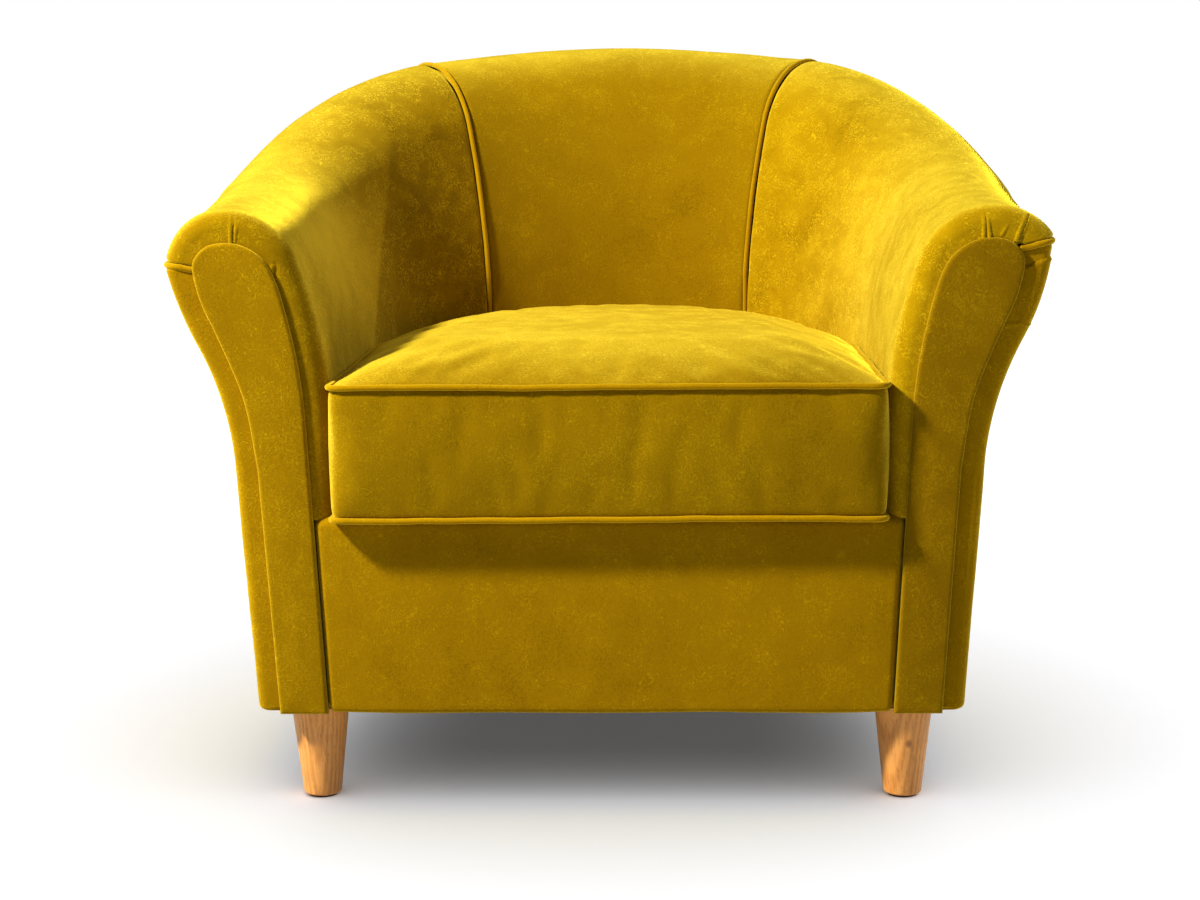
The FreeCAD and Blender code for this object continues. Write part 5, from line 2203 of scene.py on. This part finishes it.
    def puff(self, piece: Piece, pinned: Array) -> None:
        """Blow the cushion up as cloth that is held at some points, and keep the result.

        Args:
            piece: The closed skin.
            pinned: Numbers of the points that stay where they are.
        """
        rest = np.array([v.co for v in piece.data.vertices])
        group = piece.vertex_groups.new(name="held")
        group.add([int(i) for i in pinned], 1.0, "REPLACE")
        cloth = piece.modifiers.new("cloth", "CLOTH")
        settings = cloth.settings
        settings.quality = 4
        settings.mass = 0.25
        settings.tension_stiffness = 24.0
        settings.compression_stiffness = 10.0
        settings.shear_stiffness = 8.0
        settings.bending_stiffness = 0.8
        settings.use_pressure = True
        settings.uniform_pressure_force = 1.2
        settings.shrink_min = -0.003
        settings.vertex_group_mass = "held"
        settings.effector_weights.gravity = 0.0
        cloth.collision_settings.use_collision = False
        scene = bpy.context.scene
        for number in range(1, self.puff_frames + 1):
            scene.frame_set(number)
        result = piece.evaluated_get(bpy.context.evaluated_depsgraph_get())
        step = np.array([v.co for v in result.data.vertices]) - rest
        piece.modifiers.remove(cloth)
        piece.vertex_groups.remove(group)
        size = np.linalg.norm(step, axis=1, keepdims=True)
        limit = self.puff_limit
        rest = rest + np.where(size > limit, step * limit / np.maximum(size, 1e-9), step)
        rest[:, 2] = np.maximum(rest[:, 2], self.tub.deck + self.above_deck)
        piece.data.vertices.foreach_set("co", rest.astype(np.float32).ravel())
        piece.data.update()
        scene.frame_set(1)

    def body(self, points: Array, faces: Faces, held: Array) -> Piece:
        """The stuffed cover.

        Args:
            points: Points of the closed skin.
            faces: Its faces.
            held: Whether each point is on a seam.

        Returns:
            The cover.
        """
        height = uneven(points, self.waves, self.ripples, self.seed)
        on_top = ~held & (points[:, 2] > self.high)
        points[on_top, 2] += height[on_top]
        piece = make_piece("seat_cushion_body", points, faces)
        y = points[:, 1] + self.tub.back_shift - self.tub.bend
        angle = np.degrees(np.arctan2(y, points[:, 0]))
        middle = (self.low + self.high) / 2.0
        zipped = (np.abs(angle - 90.0) < 52.0) & (np.abs(points[:, 2] - middle) < self.zip_hold)
        floor = points[:, 2] < self.low - 0.0005
        self.puff(piece, np.flatnonzero(held | zipped | floor))
        smooth = piece.modifiers.new("smooth", "SUBSURF")
        smooth.levels = smooth.render_levels = 1
        dress(piece, self.finishes.velvet)
        stands_for = ["cushion_top_panel", "cushion_boxing", "cushion_bottom_panel", "cushion_foam"]
        seated(piece, CUSHION, stands_for)
        return piece

    def cord(self, edge: str, path: Array, seed: int) -> Piece:
        """Covered cord on a seam.

        Args:
            edge: Top or bottom, as the names have it.
            path: Points of the seam.
            seed: Number of its unevenness.

        Returns:
            The cord.
        """
        path = resample(path, self.cord_step, closed=True)
        before = self.cord_out_reach - path[:, 1] - self.tub.back_shift
        free = np.clip(before / self.cord_out_fade, 0.0, 1.0)
        path = wavy(path + outward_of(path) * (self.cord_out * free)[:, None], *self.cord_wander, seed)
        uneven = self.cord_uneven[0] * soft_noise(path, self.cord_uneven[1], seed + 1)
        piece = tube("cushion_cord_" + edge, path, self.cord_size * (1.0 + uneven), closed=True)
        dress(piece, self.finishes.piping)
        return seated(piece, CUSHION, ["cushion_piping_" + edge])

    def build(self) -> list[Piece]:
        """The cushion, its two cords and its zip.

        Returns:
            The pieces.
        """
        points, faces, upper, lower = self.shell()
        held = np.zeros(len(points), bool)
        held[upper] = held[lower] = True
        body = self.body(points, faces, held)
        cords = [self.cord("top", points[upper], 231), self.cord("bottom", points[lower], 241)]
        return [body, *cords, self.zip_tape(), self.zip_teeth()]

    def at_back(self, angle: Array, reach: Array, height: Array) -> Array:
        """Points on the cushion's round back.

        Args:
            angle: Angle about the middle of the round back.
            reach: Distance from it.
            height: Height above the middle of the boxing.

        Returns:
            The points.
        """
        y = self.tub.bend + reach * np.sin(angle) - self.tub.back_shift
        z = (self.low + self.high) / 2.0 + height
        return np.stack(np.broadcast_arrays(reach * np.cos(angle), y, z), axis=-1)

    def zip_tape(self) -> Piece:
        """Zip tape in the back of the boxing.

        Returns:
            The tape.
        """
        angles = np.radians(np.linspace(90.0 - self.zip_turn, 90.0 + self.zip_turn, 200))
        half = [(-0.0100, -0.0024), (-0.0098, 0.0), (-0.0026, 0.0), (-0.0022, 0.0003)]
        profile = np.array([*half, (0.0, -0.0001), *((-z, out) for z, out in half[::-1])])
        reach = self.half - self.zip_sink + profile[:, 1:]
        tape = grid_piece("zip_tape_strip", self.at_back(angles[None, :], reach, profile[:, :1]))
        thicken(tape, self.zip_cloth)
        dress(tape, self.finishes.by_slot["zip_cloth"])
        return seated(tape, CUSHION, ["zip_tape"])

    def zip_teeth(self) -> Piece:
        """Two rows of teeth on the zip tape.

        Returns:
            The teeth, as one piece.
        """
        face = self.half - self.zip_sink
        pitch = self.tooth_pitch / face
        corners = ((-0.26, 0.15), (0.26, 0.15), (0.26, 1.75), (-0.26, 1.75))
        quads = [(0, 1, 2, 3), (7, 6, 5, 4), (0, 4, 5, 1), (1, 5, 6, 2), (2, 6, 7, 3), (3, 7, 4, 0)]
        points, faces = [], []
        ends = (math.radians(90.0 - self.teeth_turn), math.radians(90.0 + self.teeth_turn))
        for row in (-1.0, 1.0):
            for angle in np.arange(*ends, pitch) + (pitch / 2.0 if row > 0 else 0.0):
                faces += [tuple(len(points) + i for i in (q if row < 0 else reversed(q))) for q in quads]
                for rise, shrink in zip(self.tooth_heights, (1.0, self.tooth_top)):
                    for across, up in corners:
                        turn = angle + across * pitch * shrink
                        points.append(self.at_back(turn, face + rise, row * self.tooth_row * up * shrink))
        teeth = make_piece("zip_teeth", np.array(points), faces)
        dress(teeth, self.finishes.by_slot["zip_metal"])
        return seated(teeth, CUSHION)


def inside_loop(points: Array, loop: Array) -> Array:
    """Which points lie inside a closed line in the plane.

    Args:
        points: The points.
        loop: The line's points.

    Returns:
        True for each point inside.
    """
    x, y = points[:, 0], points[:, 1]
    within = np.zeros(len(points), bool)
    for (ax, ay), (bx, by) in zip(loop, np.roll(loop, -1, axis=0)):
        if ay == by:
            continue
        crosses = (ay > y) != (by > y)
        at = ax + (y - ay) * (bx - ax) / (by - ay)
        within ^= crosses & (x < at)
    return within


def nearest_index(points: Array, loop: Array) -> Array:
    """Number of the loop's point that is nearest to each point."""
    gaps = np.linalg.norm(points[:, None, :] - loop[None, :, :], axis=2)
    return gaps.argmin(axis=1)


def match_count(ring: Array, count: int) -> Array:
    """A closed line with the asked number of points, evenly spaced where that number changes."""
    evenly = np.linspace(0.0, 1.0, count, endpoint=False)
    return ring if len(ring) == count else follow(shut(ring), evenly)


# What the frame carries over


@dataclass
class CarriedOver:
    """Nodes of the frame, of which the rigid ones are shown as they are."""

    finishes: Finishes
    left_heart: Spot = (-0.300, -0.376, 0.052)
    right_heart: Spot = (0.345, -0.300, 0.050)
    right_knot: Spot = (0.303, -0.371, 0.060)

    def build(self) -> list[str]:
        """Give every node its finish.

        Returns:
            The names of the nodes.
        """
        left = Beech("beech_left", self.left_heart).make()
        right = Beech("beech_right", self.right_heart, self.right_knot).make()
        slots = {s["node"]: s["material_slot"] for s in frame["record"]["subparts"]}
        names = []
        for name, node in frame["nodes"].items():
            slot = slots.get(name, "timber")
            if slot == "beech":
                material = left if "left" in name else right
            else:
                material = self.finishes.by_slot[slot]
            if node.material_slots:
                for place in node.material_slots:
                    place.material = material
            else:
                node.data.materials.append(material)
            names.append(name)
        return names


# Studio


@dataclass
class Studio:
    """Pale floor, soft light and the camera."""

    lens: float = 63.0
    spot: Spot = (0.050, -2.437076, 0.696)
    yaw: float = -1.61
    pitch: float = 9.12
    roll: float = 0.51
    key_spot: Spot = (-2.030, -1.330, 2.450)
    key_target: Spot = (0.0, -0.10, 0.45)
    key_power: float = 187.0
    key_size: float = 0.3
    fill_spot: Spot = (2.300, 0.150, 2.000)
    fill_target: Spot = (-0.20, 0.05, 0.50)
    fill_power: float = 31.0
    fill_size: float = 1.0
    floor_strength: float = 3.42
    floor_spread: float = math.radians(130.0)
    floor_glow: float = 0.12
    floor_colour: Colour = (0.872, 0.895, 0.945)
    glow_colour: Colour = (1.0, 0.985, 0.975)
    floor_half: float = 8.0
    wash_height: float = 4.0
    ambient: float = 0.095
    backdrop: float = 1.0
    contrast: float = 0.80

    def camera(self) -> None:
        """Camera at the photograph's place."""
        yaw, pitch, roll = (math.radians(a) for a in (self.yaw, self.pitch, self.roll))
        ahead = Vector((math.sin(yaw) * math.cos(pitch), math.cos(yaw) * math.cos(pitch), -math.sin(pitch)))
        right = Vector((math.cos(yaw), -math.sin(yaw), 0.0))
        down = ahead.cross(right)
        across = right * math.cos(roll) + down * math.sin(roll)
        below = down * math.cos(roll) - right * math.sin(roll)
        data = bpy.data.cameras.new("camera")
        data.lens = self.lens
        data.sensor_width = 36.0
        data.sensor_fit = "HORIZONTAL"
        data.clip_start, data.clip_end = 0.05, 60.0
        camera = bpy.data.objects.new("camera", data)
        turn = Matrix((across, -below, -ahead)).transposed()
        camera.matrix_world = Matrix.Translation(self.spot) @ turn.to_4x4()
        bpy.context.scene.collection.objects.link(camera)
        bpy.context.scene.camera = camera

    def aimed(self, data: bpy.types.Light, spot: Sequence[float], target: Sequence[float]) -> Piece:
        """Put a light in its place and turn it.

        Args:
            data: The light.
            spot: Its place.
            target: Point that it shines at.

        Returns:
            The light's object.
        """
        lamp = bpy.data.objects.new(data.name, data)
        lamp.location = spot
        lamp.rotation_mode = "QUATERNION"
        lamp.rotation_quaternion = (Vector(target) - Vector(spot)).to_track_quat("-Z", "Y")
        bpy.context.scene.collection.objects.link(lamp)
        return lamp

    def wash(self) -> Piece:
        """Soft light from straight above, for the floor.

        Returns:
            The light's object.
        """
        data = bpy.data.lights.new("floor_wash", "SUN")
        data.energy = self.floor_strength
        data.angle = self.floor_spread
        return self.aimed(data, (0.0, 0.0, self.wash_height), (0.0, 0.0, 0.0))

    def lamp(self, name: str, spot: Sequence[float], target: Sequence[float], power: float,
             size: float) -> Piece:
        """Square softbox.

        Args:
            name: Name of the light.
            spot: Its place.
            target: Point that it shines at.
            power: Its power in watts.
            size: Length of its side.

        Returns:
            The light.
        """
        data = bpy.data.lights.new(name, "AREA")
        data.shape = "SQUARE"
        data.size = size
        data.energy = power
        return self.aimed(data, spot, target)

    def surroundings(self) -> None:
        """White backdrop, and the dim light that a dark studio sends back."""
        world = bpy.data.worlds.new("studio")
        world.use_nodes = True
        tree = world.node_tree
        tree.nodes.clear()
        out = tree.nodes.new("ShaderNodeOutputWorld")
        mix = tree.nodes.new("ShaderNodeMixShader")
        seen = tree.nodes.new("ShaderNodeLightPath").outputs["Is Camera Ray"]
        tree.links.new(seen, mix.inputs[0])
        for socket, strength in ((mix.inputs[1], self.ambient), (mix.inputs[2], self.backdrop)):
            paper = tree.nodes.new("ShaderNodeBackground")
            paper.inputs["Strength"].default_value = strength
            tree.links.new(paper.outputs["Background"], socket)
            paper.inputs["Color"].default_value = (1.0, 1.0, 1.0, 1.0)
        tree.links.new(mix.outputs["Shader"], out.inputs["Surface"])
        bpy.context.scene.world = world

    def build(self) -> None:
        """Camera, floor, lights and surroundings."""
        self.camera()
        far = self.floor_half
        corners = np.array([(-far, -far, 0.0), (far, -far, 0.0), (far, far, 0.0), (-far, far, 0.0)])
        floor = make_piece("studio_floor", corners, [(0, 1, 2, 3)])
        chart = Chart("studio_floor")
        chart.set(Base_Color=rgba(self.floor_colour), Roughness=0.9, Specular_IOR_Level=0.0)
        chart.set(Emission_Color=rgba(self.glow_colour), Emission_Strength=self.floor_glow)
        dress(floor, chart.material)
        self.surroundings()
        key = self.lamp("key", self.key_spot, self.key_target, self.key_power, self.key_size)
        fill = self.lamp("fill", self.fill_spot, self.fill_target, self.fill_power, self.fill_size)
        wash = self.wash()
        only_floor = bpy.data.collections.new("floor_only")
        only_floor.objects.link(floor)
        wash.light_linking.receiver_collection = only_floor
        not_floor = bpy.data.collections.new("all_but_floor")
        not_floor.objects.link(floor)
        key.light_linking.receiver_collection = not_floor
        fill.light_linking.receiver_collection = not_floor
        for member in not_floor.collection_objects:
            member.light_linking.link_state = "EXCLUDE"
        scene = bpy.context.scene
        scene.view_settings.view_transform = "Standard"
        scene.view_settings.gamma = self.contrast


def main() -> None:
    """Build the chair, sub-assembly by sub-assembly, and its studio."""
    logging.basicConfig(level=logging.INFO, format="%(name)s: %(message)s")
    studio = Studio()
    studio.build()
    finishes = Finishes()
    LOG.info("carried over: %d nodes", len(CarriedOver(finishes).build()))
    tub = Tub()
    facings = Facings(tub, finishes)
    parts = (InsideArms(tub, finishes), InsideBack(tub, finishes), OutsideCovers(tub, finishes), facings,
             FrontPanel(tub, finishes, facings), Deck(tub, finishes), Pipings(tub, finishes),
             SeatCushion(tub, finishes))
    for part in parts:
        for piece in part.build():
            LOG.info("%s: %s, %d corners", type(part).__name__, piece.name, len(piece.data.vertices))


if __name__ == "__main__":
    main()
